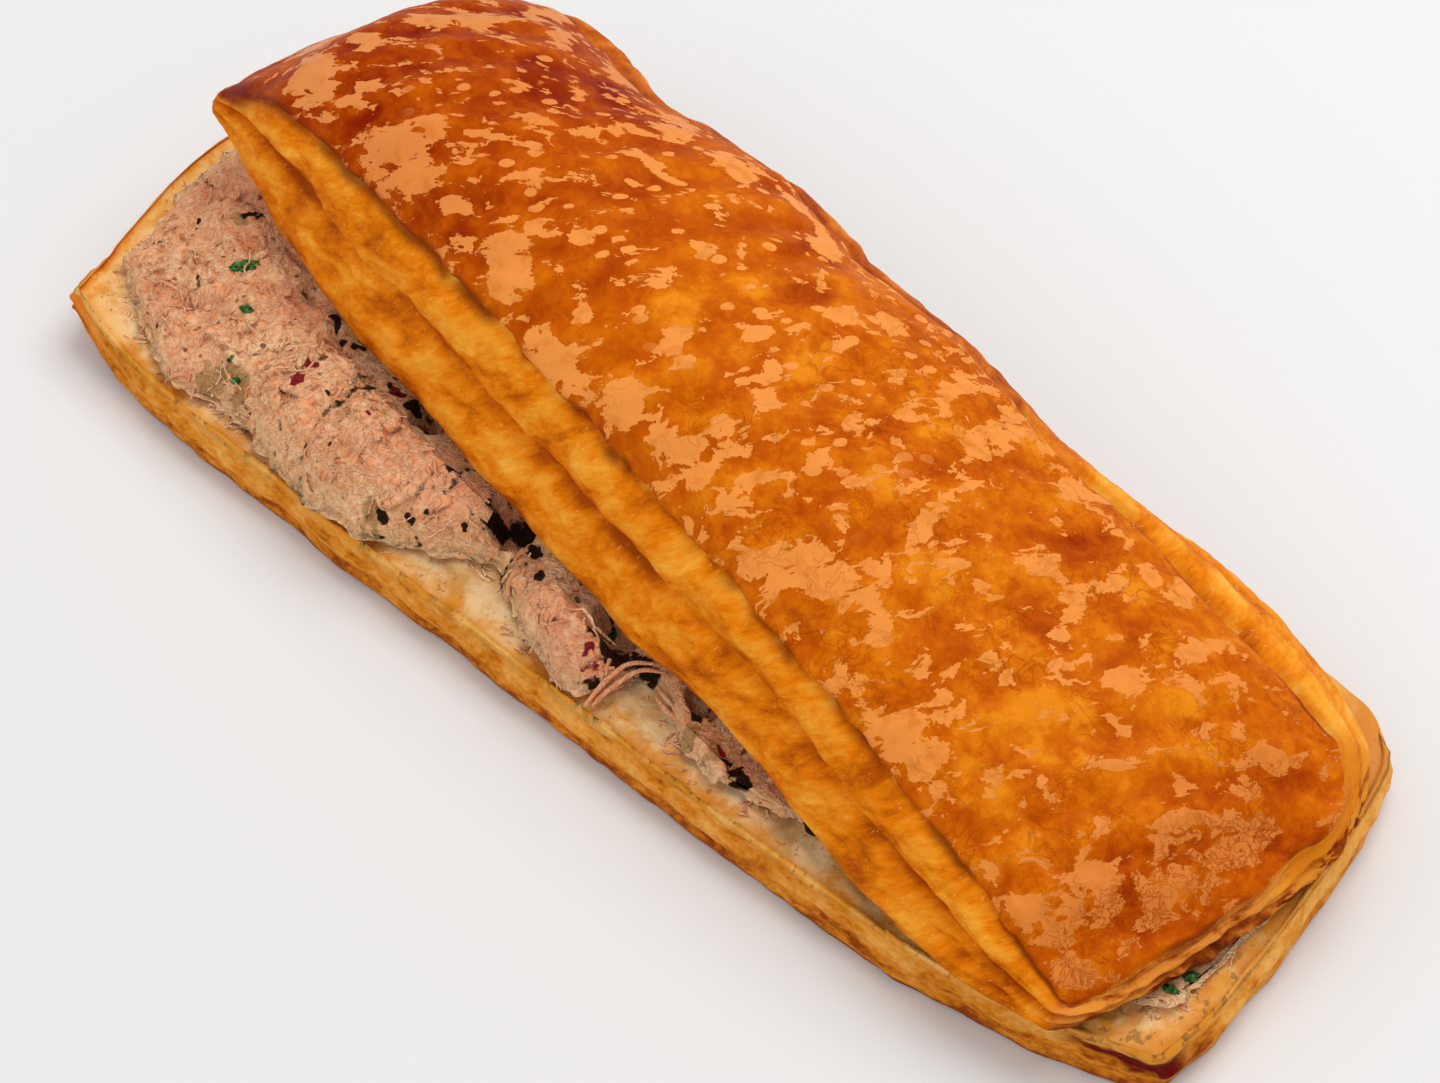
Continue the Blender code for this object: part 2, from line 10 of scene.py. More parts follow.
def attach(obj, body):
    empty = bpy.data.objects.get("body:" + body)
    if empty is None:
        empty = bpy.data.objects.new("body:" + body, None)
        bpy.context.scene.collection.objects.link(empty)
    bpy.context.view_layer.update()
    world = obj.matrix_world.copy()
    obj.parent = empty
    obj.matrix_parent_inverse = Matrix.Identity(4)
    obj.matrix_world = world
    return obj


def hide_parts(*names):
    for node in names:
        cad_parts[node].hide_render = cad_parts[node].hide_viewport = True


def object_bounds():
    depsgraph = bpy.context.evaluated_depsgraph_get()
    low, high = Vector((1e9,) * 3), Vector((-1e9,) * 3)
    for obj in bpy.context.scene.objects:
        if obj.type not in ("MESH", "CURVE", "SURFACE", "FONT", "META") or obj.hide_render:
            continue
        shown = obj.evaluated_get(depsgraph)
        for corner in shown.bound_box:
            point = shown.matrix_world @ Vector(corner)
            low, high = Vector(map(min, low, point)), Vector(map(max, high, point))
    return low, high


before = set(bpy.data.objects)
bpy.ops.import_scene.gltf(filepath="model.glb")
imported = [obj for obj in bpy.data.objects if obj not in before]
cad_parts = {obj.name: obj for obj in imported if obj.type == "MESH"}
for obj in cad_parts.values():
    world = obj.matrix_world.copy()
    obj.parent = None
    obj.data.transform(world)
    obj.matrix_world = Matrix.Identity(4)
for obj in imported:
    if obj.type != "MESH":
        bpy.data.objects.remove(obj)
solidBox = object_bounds()

planCentre = (-0.00156, 0.00677)  # the pie is laid out round another point, which moves to the origin
gap = 0.0003  # between the slab and the tuna
onTop = 0.999  # share of a skin's height from which a place belongs to its top


# Plain maths for the shapes

def smooth(low, high, value):  # from 0 at low to 1 at high
    share = min(max((value - low) / (high - low), 0.0), 1.0)
    return share * share * (3 - 2 * share)


def bell(value, middle, spread):
    return math.exp(-((value - middle) / spread) ** 2)


def through(stations, at):  # height of the smooth curve through the (place, height) stations
    last = len(stations) - 1
    index = 0
    while index < last - 1 and at > stations[index + 1][0]:
        index += 1
    (x0, y0), (x1, y1) = stations[index], stations[index + 1]
    step = x1 - x0
    before, after = stations[max(index - 1, 0)], stations[min(index + 2, last)]
    slope0 = (y1 - before[1]) / (x1 - before[0]) * step
    slope1 = (after[1] - y0) / (after[0] - x0) * step
    s = (at - x0) / step
    if s < 0:
        return y0 + slope0 * s
    if s > 1:
        return y1 + slope1 * (s - 1)
    return (y0 * (1 + 2 * s) * (1 - s) ** 2 + slope0 * s * (1 - s) ** 2
            + y1 * s * s * (3 - 2 * s) - slope1 * s * s * (1 - s))


def straight(stations, at):  # height of the broken line through the stations
    for (x0, y0), (x1, y1) in zip(stations, stations[1:]):
        if at <= x1:
            break
    return y0 + (y1 - y0) * (at - x0) / (x1 - x0)


def rough(x, y, z, size, seed=0.0):  # smooth noise from about -1 to 1, its features of that size
    return noise.noise(Vector((x / size + seed, y / size - seed, z / size + 2.7 * seed)))


def roughs(x, y, c, layers):  # layers of noise: height, size, seed, and how fast it changes with c
    total = 0.0
    for height, size, seed, change in layers:
        total += height * rough(x, y, c * change, size, seed)
    return total


def hump(share):  # 0 at both ends, 1 half way
    return math.sin(math.pi * share)


def clump(x, y, size, seed):  # rounded lumps with creases between: near 1 on a lump, below 0 in a crease
    return 1 - 1.7 * noise.voronoi(Vector((x / size + seed, y / size - seed, seed)))[0][0] ** 2


def cuts(*runs):  # shares from 0 to 1, each run given as (where it ends, how many steps it takes)
    shares = [0.0]
    for end, steps in runs:
        start = shares[-1]
        shares += [start + (end - start) * (n + 1) / steps for n in range(steps)]
    return shares


def placed(name, data):
    piece = bpy.data.objects.new(name, data)
    bpy.context.scene.collection.objects.link(piece)
    return piece


def newPiece(name, places, faces, *finishes, smoothed=True):
    mesh = bpy.data.meshes.new(name)
    mesh.from_pydata(places, [], faces)
    mesh.polygons.foreach_set("use_smooth", [smoothed] * len(faces))
    for finish in finishes:
        mesh.materials.append(finish)
    return placed(name, mesh)


# A block's skin, moved place by place. The underside is coarse, since little of it is seen.

def skin(name, along, across, up, coarse, shape, topFinish, sideFinish):
    columns, rows, levels = len(along) - 1, len(across) - 1, len(up) - 1
    keptColumns = [*range(0, columns, coarse[0]), columns]
    keptRows = [*range(0, rows, coarse[1]), rows]
    numbers, faces, kinds = {}, [], []  # corners are numbered as the faces meet them

    def face(kind, *corners):
        faces.append([numbers.setdefault(corner, len(numbers)) for corner in corners])
        kinds.append(kind)

    def wall(k, start, end):
        face(1, (*start, k), (*end, k), (*end, k + 1), (*start, k + 1))

    for i in range(columns):
        for j in range(rows):
            face(0, (i, j, levels), (i + 1, j, levels), (i + 1, j + 1, levels), (i, j + 1, levels))
        for k in range(levels):
            wall(k, (i, 0), (i + 1, 0))
            wall(k, (i + 1, rows), (i, rows))
    for j in range(rows):
        for k in range(levels):
            wall(k, (0, j + 1), (0, j))
            wall(k, (columns, j), (columns, j + 1))
    for i0, i1 in zip(keptColumns, keptColumns[1:]):
        for j0, j1 in zip(keptRows, keptRows[1:]):
            ring = [(i, j0) for i in (range(i0, i1) if j0 == 0 else (i0,))]
            ring += [(i1, j) for j in (range(j0, j1) if i1 == columns else (j0,))]
            ring += [(i, j1) for i in (range(i1, i0, -1) if j1 == rows else (i1,))]
            ring += [(i0, j) for j in (range(j1, j0, -1) if i0 == 0 else (j1,))]
            face(2, *[(i, j, 0) for i, j in reversed(ring)])

    spots, *marks = zip(*[shape(along[i], across[j], up[k]) for i, j, k in numbers])
    piece = newPiece(name, spots, faces, topFinish, sideFinish, sideFinish)
    for label, values in zip(("place", "marks", "tints"), marks):
        attribute = piece.data.attributes.new(label, "FLOAT_VECTOR", "POINT")
        attribute.data.foreach_set("vector", [number for value in values for number in value])
    piece.data.polygons.foreach_set("material_index", kinds)
    piece.data.validate()
    piece.data.update()
    return piece


def pastCorner(a, b, plan):  # which corner is near, how far a place lies past its centre, and its radius
    length, width, radii = plan
    sideA, sideB = (1 if a > 0.5 else -1), (1 if b > 0.5 else -1)
    radius = radii[(a > 0.5) + 2 * (b > 0.5)]
    pastA = abs(a - 0.5) * length - (length / 2 - radius)
    pastB = abs(b - 0.5) * width - (width / 2 - radius)
    return sideA, sideB, pastA, pastB, radius


def rounded(a, b, plan):  # the plan place once the four corners are rounded
    sideA, sideB, pastA, pastB, radius = pastCorner(a, b, plan)
    if pastA <= 0 or pastB <= 0:
        return a, b
    pull = max(pastA, pastB) / math.hypot(pastA, pastB)
    return (0.5 + sideA * (plan[0] / 2 - radius + pastA * pull) / plan[0],
            0.5 + sideB * (plan[1] / 2 - radius + pastB * pull) / plan[1])


def outward(a, b, plan):  # the way out at a side, turning round the corners
    outA, outB = (a > 0.9999) - (a < 0.0001), (b > 0.9999) - (b < 0.0001)
    sideA, sideB, pastA, pastB = pastCorner(a, b, plan)[:4]
    if (outA or outB) and pastA > 0 and pastB > 0:
        reach = math.hypot(pastA, pastB)
        return sideA * pastA / reach, sideB * pastB / reach
    return float(outA), float(outB)


def settled(x, y, z):  # into the pie's own frame, and never outside the solids' box
    spot = (x - planCentre[0], y - planCentre[1], z)
    return tuple(min(max(v, low), high) for v, low, high in zip(spot, *solidBox))


# Bottom pastry

slab = {
    "thickness": 0.0072,
    "nearEdge": (
        (-0.082, -0.0222), (-0.067, -0.0257), (-0.038, -0.0279), (0, -0.0298), (0.046, -0.0315),
        (0.067, -0.0296), (0.083, -0.0252)),
    "farEdge": ((-0.085, 0.03), (0.02, 0.031), (0.05, 0.0302), (0.068, 0.028), (0.082, 0.025)),
    "leftEnd": (
        (-0.0225, -0.0813), (-0.0155, -0.0834), (-0.007, -0.0852), (0.003, -0.0864), (0.03, -0.0862)),
    "rightEnd": ((-0.025, 0.082), (-0.016, 0.083), (-0.004, 0.0826), (0.01, 0.0816), (0.028, 0.0785)),
    "plan": (0.164, 0.058, (0.0006, 0.0014, 0.0045, 0.006)),  # length, width, corners' radii
    "meanWidth": 0.056,
    "widest": 0.45,
    "tuck": (0.0024, 0.0035),  # below the widest level and above it
    "layers": (0.0004, 13.0, 4, 0.03),  # relief, and the layers' number, sway and size
    "waves": ((0.0005, 0.009, 0, 0.004), (0.00025, 0.0028, 8, 0.01)),
    "flakeRelief": 0.00022,
    "flakes": ((1, 0.0075, 3, 0.045), (0.8, 0.0032, 5, 0.05)),
    "bump": (0.0009, 0.0062, 0.0012),  # height, size, deepest
    "crumb": (0.0002, 0.0016, 0.00012, 0.0034),  # two heights, each with its size
    "openTop": (0.009, 0.013),
    "curls": ((-0.0803, -0.0227, 0.0052, 0.014, 0.55), (0.082, -0.0255, 0.0012, 0.01, 0.85),
              (-0.086, 0.005, 0.001, 0.022, 1.0)),  # x, y, lift, reach, share of the thickness left
    "split": (0.064, 0.08, 0.0016, 0.13),  # from, to, depth, height
}


def slabCurl(x, y):  # how far a corner curls up here, and the share of the thickness that is left
    lift, kept = 0.0, 1.0
    for cornerX, cornerY, height, reach, thickness in slab["curls"]:
        near = 1 - min(math.hypot(x - cornerX, y - cornerY) / reach, 1.0)
        lift += height * near * near
        kept -= (1 - thickness) * near * near
    return lift, kept


def slabPlan(a, b):
    a, b = rounded(a, b, slab["plan"])
    x = slab["leftEnd"][0][1] + slab["plan"][0] * a
    y = slab["nearEdge"][0][1] + slab["plan"][1] * b
    for attempt in range(3):
        near, far = through(slab["nearEdge"], x), through(slab["farEdge"], x)
        y = near + (far - near) * b
        left, right = through(slab["leftEnd"], y), through(slab["rightEnd"], y)
        x = left + (right - left) * a
    return x, y


def slabShape(a, b, c):
    outA, outB = outward(a, b, slab["plan"])
    length, width = slab["plan"][:2]
    x, y = slabPlan(a, b)
    lift, kept = slabCurl(x, y)
    depth = slab["thickness"] * kept
    inset = min(min(b, 1 - b) * slab["meanWidth"], min(a, 1 - a) * length)
    if outA or outB:
        below, above = slab["tuck"]
        tuck = below * max(slab["widest"] - c, 0.0) ** 2 + above * max(c - slab["widest"], 0) ** 2
        relief, number, sway, size = slab["layers"]
        layers = relief * math.sin(c * number + sway * rough(x, y, 0, size))
        fromX, toX, deep, height = slab["split"]
        split = deep * smooth(fromX, toX, x) * bell(c, 0.5, height)
        flakes = slab["flakeRelief"] * roughs(x, y, c, slab["flakes"])
        push = layers * hump(c) + roughs(x, y, c, slab["waves"]) - tuck + split * min(outB, 0.0)
        push += flakes * hump(min(max(c, 0.05), 0.95))
        x += push * outA
        y += push * outB
    elif c > onTop:
        height, size, deepest = slab["bump"]
        bumps = height * (abs(rough(x, y, 0, size)) + 0.6 * abs(rough(x, y, 0, size / 2, 3)))
        depth -= min(bumps, deepest) * (1 - smooth(*slab["openTop"], b * width))
        height, size, height2, size2 = slab["crumb"]
        crumb = height * (rough(x, y, 0, size, 6) - 1) + height2 * rough(x, y, 0, size2, 7)
        depth += crumb * smooth(0.0, 0.001, inset)
        nearRim = 1 - min(inset / 0.003, 1.0)
        depth -= 0.0006 * nearRim ** 2 * (1 + 0.8 * rough(x, y, 0, 0.006, 46))
        depth -= 0.0005 * math.sqrt(nearRim) * abs(rough(x, y, 0, 0.0036, 44))
    past = -tunaInset(x, y)
    sown = bell(past, 0.0004, 0.0012) * (past > -0.0004) * (c > onTop)  # where wisps of tuna lie on the slab
    sown = sown * smooth(0.0, 0.002, lidClearance(x, y)) * smooth(0.0016, 0.003, inset)
    return settled(x, y, lift + c * depth), (x, y, c * slab["thickness"]), (inset, c, lift), (0.0, 0.0, sown)


# Lid: t runs along its near edge and w across it, from the near left corner of the crust

lid = {
    "corner": (-0.0797, 0.0048),
    "yaw": math.radians(-12.5),
    "plan": (0.1546, 0.043, (0.0006, 0.0015, 0.0095, 0.01)),
    "width": (
        (0, 0.04), (0.022, 0.0399), (0.032, 0.038), (0.045, 0.04), (0.06, 0.0413), (0.072, 0.0402),
        (0.09, 0.0416), (0.107, 0.0403), (0.12, 0.042), (0.156, 0.0426)),
    "leftSlant": (0.0085, 2.2),
    "endBow": (0.003, 0.024, 0.026),  # depth, middle, half width
    "nearHeight": (
        (0, 0.0222), (0.005, 0.0255), (0.014, 0.0305), (0.05, 0.0305), (0.076, 0.0285), (0.112, 0.024),
        (0.134, 0.0188), (0.146, 0.015), (0.156, 0.0108)),
    "farHeight": ((0, 0.0186), (0.02, 0.023), (0.06, 0.0265), (0.1, 0.025), (0.125, 0.0205), (0.15, 0.0165)),
    "dome": (
        (0, 0.005), (0.012, 0.0066), (0.035, 0.0085), (0.08, 0.0082), (0.12, 0.0062), (0.147, 0.0042),
        (0.156, 0.0024)),
    "arch": (2.2, 0.85),
    "underside": ((0, 0.0142), (0.066, 0.0136), (0.108, 0.0092), (0.16, 0.0086)),
    "droop": ((0, 0), (0.112, 0), (0.128, 0.0009), (0.156, 0.0009)),
    "rim": 0.0004,
    "pinch": (0.0058, 0.016),
    "nearLean": (
        (0, 0.002), (0.013, 0.0039), (0.025, 0.0058), (0.04, 0.0071), (0.098, 0.0068), (0.11, 0.0058),
        (0.13, 0.0062), (0.144, 0.0048), (0.156, 0.0008)),
    "farLean": (
        (0, 0.003), (0.02, 0.005), (0.095, 0.0055), (0.111, 0.009), (0.134, 0.0102), (0.148, 0.0065),
        (0.156, 0.002)),
    "endLean": 0.0006,
    "fullness": (0.85, 0.6),
    "footTuck": (0.0018, 0.12),
    "swells": ((0.0006, 0.24, 0.12), (0.0005, 0.78, 0.14), (-0.001, 0.53, 0.07)),  # height, level, spread
    "ripple": (0.0003, 0.0085, 0.55),  # height, pitch, slant
    "blister": 0.0007,
    "fine": ((0.0002, 0.0026, 12, 0), (0.00012, 0.0012, 13, 0)),
    "wrinkle": 0.0006,
    "edgeWave": (0.0007, 0.006, 0.005),  # height, size, reach
    "foldRelief": 0.00075,
    "folds": ((1, 0.01, 14, 0.045), (0.6, 0.005, 15, 0.05), (0.4, 0.0024, 16, 0.06)),
    "middle": 0.53,  # level of the groove between the two bands of layers, where it doesn't wander
    "groove": (
        (0, 0.72), (0.02, 0.64), (0.035, 0.6), (0.05, 0.64), (0.066, 0.53), (0.074, 0.58), (0.09, 0.63),
        (0.1, 0.76), (0.11, 0.74), (0.125, 0.62), (0.156, 0.5)),
}
lidLength, lidWidth = lid["plan"][:2]
lidCos, lidSin = math.cos(lid["yaw"]), math.sin(lid["yaw"])


def lidEnd(w):
    bow, middle, reach = lid["endBow"]
    return bow * (1 - ((w - middle) / reach) ** 2)


def lidPlace(t, w):
    return lid["corner"][0] + t * lidCos - w * lidSin, lid["corner"][1] + t * lidSin + w * lidCos


def lidFrame(x, y):
    dx, dy = x - lid["corner"][0], y - lid["corner"][1]
    return dx * lidCos + dy * lidSin, dy * lidCos - dx * lidSin


def lidRim(t, w, b):
    pinch, reach = lid["pinch"]
    inside = smooth(0.0, lid["rim"], min(b, 1 - b) * through(lid["width"], t))
    droop = straight(lid["droop"], t) * (1 - inside)
    return pinch * (1 - smooth(0.0, reach, math.hypot(max(t, 0.0), 1.4 * max(w, 0.0)))) - droop


def lidEdgeHeight(t, b):
    near, far = through(lid["nearHeight"], t), through(lid["farHeight"], t)
    return near + (far - near) * b


def lidCrust(t, w, b):  # the crust's height, and how far it stands on a ripple's crest
    flat, soft = lid["arch"]
    arch = (1 - abs(2 * b - 1) ** flat) ** soft
    end = smooth(-0.001, 0.012, t) * (1 - 0.75 * smooth(lidLength - 0.006, lidLength + 0.002, t))
    dome = through(lid["dome"], min(t, lidLength)) * arch * (0.3 + 0.7 * end)
    height, pitch, slant = lid["ripple"]
    crest = t - slant * w + 0.0025 * rough(t, w, 0, 0.03)
    ripple = math.sin(crest * math.tau / pitch + 4 * rough(t, w, 0, 0.022, 5))
    ripple *= 0.6 + 0.8 * rough(t, w, 0, 0.018, 11)
    blister = rough(t, 0.7 * w, 0, 0.012, 2) + 0.5 * rough(t, w, 0, 0.0055, 4)
    wrinkles = 0.4 - abs(rough(t, w, 0, 0.005, 26)) - 0.5 * abs(rough(t, w, 0, 0.0026, 27))
    wrinkles = lid["wrinkle"] * wrinkles * (0.35 + 0.65 * smooth(0.06, 0.13, t))
    fine = roughs(t, w, 0, lid["fine"]) + wrinkles
    lumps = (height * ripple + lid["blister"] * blister + fine) * smooth(0.0, 0.3, arch)
    return lidEdgeHeight(t, b) + dome + lumps, ripple + 0.6 * blister


def lidSide(c, lean, fullness):
    tuck, tuckHeight = lid["footTuck"]
    foot = tuck * (max(tuckHeight - c, 0.0) / tuckHeight) ** 2
    relief = sum(height * bell(c, level, spread) for height, level, spread in lid["swells"])
    return lean * min((1 - c) / (1 - tuckHeight), 1.0) ** fullness - foot + relief


def lidLean(t, outA, outB):
    sideways = through(lid["farLean"] if outB > 0 else lid["nearLean"], t)
    return sideways * outB * outB + lid["endLean"] * outA * outA


def lidShape(a, b, c):
    outA, outB = outward(a, b, lid["plan"])
    a, b = rounded(a, b, lid["plan"])
    slant, power = lid["leftSlant"]
    start = slant * b ** power
    t = start + a * (lidLength + lidEnd(b * lidWidth) - start)
    w = b * through(lid["width"], t)
    rim = min(b * lidWidth, (1 - b) * lidWidth, t - start, lidLength + lidEnd(w) - t)
    foot = straight(lid["underside"], t) + lidRim(t, w, b)
    crest = crease = 0.0
    tints = (0.0, 0.0, 0.0)
    if c > onTop:
        z, crest = lidCrust(t, w, b)
        # patches painted into the crust: its reflection of the light, amber patches of its own colour, and a
        # painted dark reflection of its surroundings
        paintedReflection, amber, dark = (patchShare(kind, t, w) for kind in crustPatches)
        tints = (paintedReflection, max(amber, 0.0) - max(dark, 0.0), 0.0)
    else:
        z = foot + c * (lidEdgeHeight(t, b) - foot)
    atT, atW = t, w
    if outA or outB:
        groove = through(lid["groove"], t) if outB < 0 else 0.55 + 0.05 * rough(t, w, 0, 0.028, 7)
        wander = (groove - lid["middle"]) + 0.02 * rough(t, w, 0, 0.006, 17)
        push = lidSide(c - wander * hump(c), lidLean(t, outA, outB), lid["fullness"][outB > 0])
        push += (1 - c) * 0.0006 * rough(t, w, 0.012 * c, 0.01, 6)
        folds = roughs(t - 0.01 * c, w, c, lid["folds"])
        push += lid["foldRelief"] * folds * hump(min(max(c, 0.04), 0.97))
        push += 0.0005 * outA * outA * rough(atW, 0.035 * c, 0, 0.002, 51) * hump(c)
        rolled = max(smooth(0.0, 0.6, outB) * (1 - smooth(0.09, 0.112, t)), smooth(0.2, 0.9, abs(outA)))
        tints = (rolled, smooth(0.0, 0.7, outA), 0.0)
        # painted shade along the groove and between the folds, and painted highlight on the folds' ridges
        crease = bell(c, lid["middle"] + wander, 0.055) * (0.55 + 0.7 * rough(t, w, 0, 0.012, 18))
        crease -= 0.7 * folds
        push -= 0.0005 * smooth(0.86, 1.0, c) ** 2 * smooth(0.01, 0.03, t) * (outB < -0.5)
        t += push * outA
        w += push * outB
    height, size, reach = lid["edgeWave"]
    share = (1 - smooth(0.0, reach, rim)) * c * c * smooth(0.0, 0.012, t)
    w += share * roughs(atT, atW, 0, ((height, size, 33, 0), (0.5 * height, size / 2.5, 34, 0)))
    t += share * height * rough(atT, atW, 0, size, 35)
    z += share * (height * rough(atT, atW, 0, size, 36) - 0.0004 * (1 - min(rim / 0.0012, 1.0)) ** 2)
    x, y = lidPlace(t, w)
    return settled(x, y, z), (atT, atW, z), (rim, c, crest if c > onTop else crease), tints


crustPatches = {  # (t, w, half length, half width, turn), in millimetres and degrees
    # where the glaze's reflection of the light is painted
    "paintedReflection": (
        (14, 4.5, 6, 3.6, -15), (24, 33, 5, 1.4, -35), (29, 37, 4, 1.2, -35), (20, 28, 3, 0.7, -30),
        (4, 12, 3, 5, 0), (13.5, 12.2, 2.6, 1.8, 0), (21.3, 5, 3.2, 1.5, 80), (33, 4, 7, 3.8, 0),
        (32.5, 8.5, 3.6, 1.6, 0), (38.5, 12.8, 3, 0.6, 40), (39.8, 18, 2.7, 1.7, 10), (42.8, 4.8, 2, 1.6, 30),
        (53.5, 4.5, 4.4, 3.4, -20), (66.5, 1.6, 6.6, 2.2, 5), (64.4, 6.6, 2, 1.5, 0),
        (74.3, 11.2, 2.3, 1.7, 70), (67.2, 15, 3, 1.4, 60), (70, 24.5, 1.9, 1.1, -30), (67, 21.5, 1.6, 1, 45),
        (60, 15, 1.5, 1, 80), (57.8, 12, 2.2, 1.6, 20), (53.5, 21.8, 1.3, 0.9, 30),
        (44.6, 22.8, 1.6, 0.9, 30), (46, 25.4, 4.6, 0.8, -18), (45.5, 28, 1.6, 0.9, 0),
        (50.6, 25.2, 2.4, 1.3, 30), (55, 25.8, 2.4, 0.9, 20), (22.8, 24, 1.6, 0.6, 15),
        (33.2, 21.2, 1, 0.8, 0), (22.8, 16.5, 2.2, 1, -10), (26, 12.2, 1.1, 0.6, 20),
        (45.5, 33.5, 5.2, 2.8, -42), (56, 34, 4.2, 2.2, -10), (33, 35, 3.2, 1.4, -35), (17, 35, 2.4, 5, 20),
        (48, 14, 4, 1.2, 50), (82.8, 28.8, 1.8, 1.3, 0), (84.6, 33.6, 3.2, 0.7, -28),
        (91.6, 29, 2.4, 1.2, -60), (96, 34, 4.3, 1.5, -70), (96.4, 27.4, 2.8, 1, -75),
        (85, 25.8, 1.7, 1.2, -30), (94.3, 20.8, 2.3, 1.5, 80), (86.2, 14.8, 2.8, 1.5, 10),
        (84.4, 17.6, 2.4, 0.8, -45), (79, 18.4, 3.2, 0.8, 10), (99, 15.5, 3.5, 1.2, 30),
        (104, 31, 5.2, 1.4, -80), (106.6, 26.4, 1.6, 1.3, 0), (108, 19.3, 3.6, 1.2, -60),
        (112, 38, 2.7, 1.4, -60), (116, 19.2, 2.8, 0.8, 10), (118.3, 26.5, 2.8, 1.4, 80),
        (124.8, 26.8, 2.8, 2.1, -30), (124, 33, 2.3, 1, 80), (128.3, 21, 2.6, 1, -60),
        (135.2, 33.5, 5.2, 1.5, -80), (133.4, 24.5, 5, 1.3, 60), (127, 15.2, 2.6, 1.2, 10),
        (88, 5.4, 3.2, 2.7, 20), (83, 3.6, 4, 1.7, -20), (93.2, 4.4, 3.2, 1.4, 30), (93.4, 8.4, 2.6, 1, 20),
        (101.5, 3.6, 4.4, 2.2, 25), (106, 7.6, 5, 2.8, 35), (109, 11.4, 2.6, 1.7, 0), (114, 8, 3.6, 1.4, -15),
        (126, 2.8, 5.6, 2.6, 15), (117, 2, 4, 1.4, 0), (125.6, 8, 1.7, 1.8, 0), (146, 2.8, 4.8, 1.9, 25),
        (153, 24, 6, 2.6, 85), (153.2, 15, 5, 2, 90), (146, 32.4, 2.2, 1.3, 0), (139, 22.2, 3.2, 0.8, 25),
        (147.6, 21.8, 2.4, 0.8, -30), (138.2, 11, 2, 0.7, 0), (144, 14, 2.4, 1.1, 70),
        (146.6, 9, 3.6, 0.9, -60), (128, 39.5, 3, 1.6, -20), (76.5, 3.2, 3.4, 2.4, 0), (149, 19, 3, 1.5, 60),
        (148, 10, 3.6, 1.6, 80), (140, 17.5, 2.6, 0.9, 40), (149, 6.5, 4.4, 2, 60), (152.6, 3, 2.4, 2, 0),
        (144.5, 3, 2.6, 1.4, 35), (15, 38.5, 5, 1.6, 0), (17, 26, 4, 3, 20), (14.5, 20.5, 3, 2.6, -20),
        (64, 38.2, 3, 1.2, 0), (101, 38.3, 5, 1.3, 0), (113, 38.3, 5, 1.2, 0), (125, 38, 4, 1.1, 0),
        (52, 8.5, 3, 1.5, 30), (88, 8.5, 3.2, 2, 20), (149, 28, 3.2, 1.6, 50), (147, 33, 2.8, 1.6, 20),
        (99.5, 3, 3.2, 1.6, 0), (62, 27, 2.2, 0.9, -20), (36, 27, 2.6, 0.7, -25), (28, 20, 1.8, 0.7, 0),
        (38, 23.5, 1.4, 0.6, 20), (58, 18, 1.2, 0.8, 0), (77, 30.5, 2.6, 1, -50), (71, 36, 3, 2, -30)),
    "amber": (
        (134, 16, 5.5, 5, 0), (144.5, 27, 3.5, 2.6, 30), (154, 38, 3, 5.5, 0), (91, 2.2, 5, 1.2, 12),
        (72, 14, 4, 3, 0), (74, 23, 3, 3, 0), (113, 15, 4, 3.5, 30), (122, 17, 2.5, 3.5, 0),
        (81, 16, 2.6, 1.6, 0), (103, 17.5, 2.6, 2, 0), (92, 6.2, 2.2, 1.1, 0), (112, 4.4, 2.4, 1.8, 0),
        (86, 21, 3, 5, 0), (134.5, 6, 4.5, 3, 0), (100, 28, 1.8, 3.5, 0), (126, 34, 2.4, 2, 0),
        (54, 27, 3.5, 2, 0), (104, 38, 3, 2.4, 0)),
    # where the glaze's dark reflection of its surroundings is painted
    "dark": (
        (24.6, 5, 4.6, 1.5, 75), (33, 24, 7, 4, -20), (37, 31, 5, 2.5, -30), (46, 2.5, 2.5, 2.5, 0),
        (59.5, 6, 3, 1.2, 80), (97, 23, 4, 2.4, 0), (119, 32, 3, 4, 0), (125, 21.6, 4, 2, 20),
        (147, 9, 5.5, 1.2, -70), (132, 26, 1.6, 3, 0), (78, 28, 3, 4, 0), (130, 30, 2.5, 3, 0),
        (137, 39, 2.4, 3, 0), (150.5, 11, 1.4, 6, 0), (63, 12, 2, 6, 10), (122, 10.5, 3, 1.2, 20),
        (118.5, 36, 2, 3.5, 20), (70.5, 32, 2, 5, 0), (17, 18, 2, 5, -20)),
}


def patchShare(kind, t, w):  # 1 well inside a patch, 0 at its outline, below 0 outside
    best = -1.0
    for middleT, middleW, length, width, turn in crustPatches[kind]:
        dt, dw = 1000 * t - middleT, 1000 * w - middleW
        if abs(dt) + abs(dw) > 2.6 * (length + width):
            continue
        cos, sin = math.cos(math.radians(turn)), math.sin(math.radians(turn))
        away = math.hypot((dt * cos + dw * sin) / length, (dw * cos - dt * sin) / width)
        best = max(best, (1 - away) * max(min(length, width), 1.2) / 1.5)
    return min(best, 1.0)


def lidClearance(x, y):  # how far a place lies outside the foot of the lid
    t, w = lidFrame(x, y)
    near, far = through(lid["nearLean"], t), through(lid["farLean"], t)
    return max(-near - w, w - through(lid["width"], t) - far, -lid["endLean"] - t,
               t - lidLength - lidEnd(w) - lid["endLean"])


# Tuna

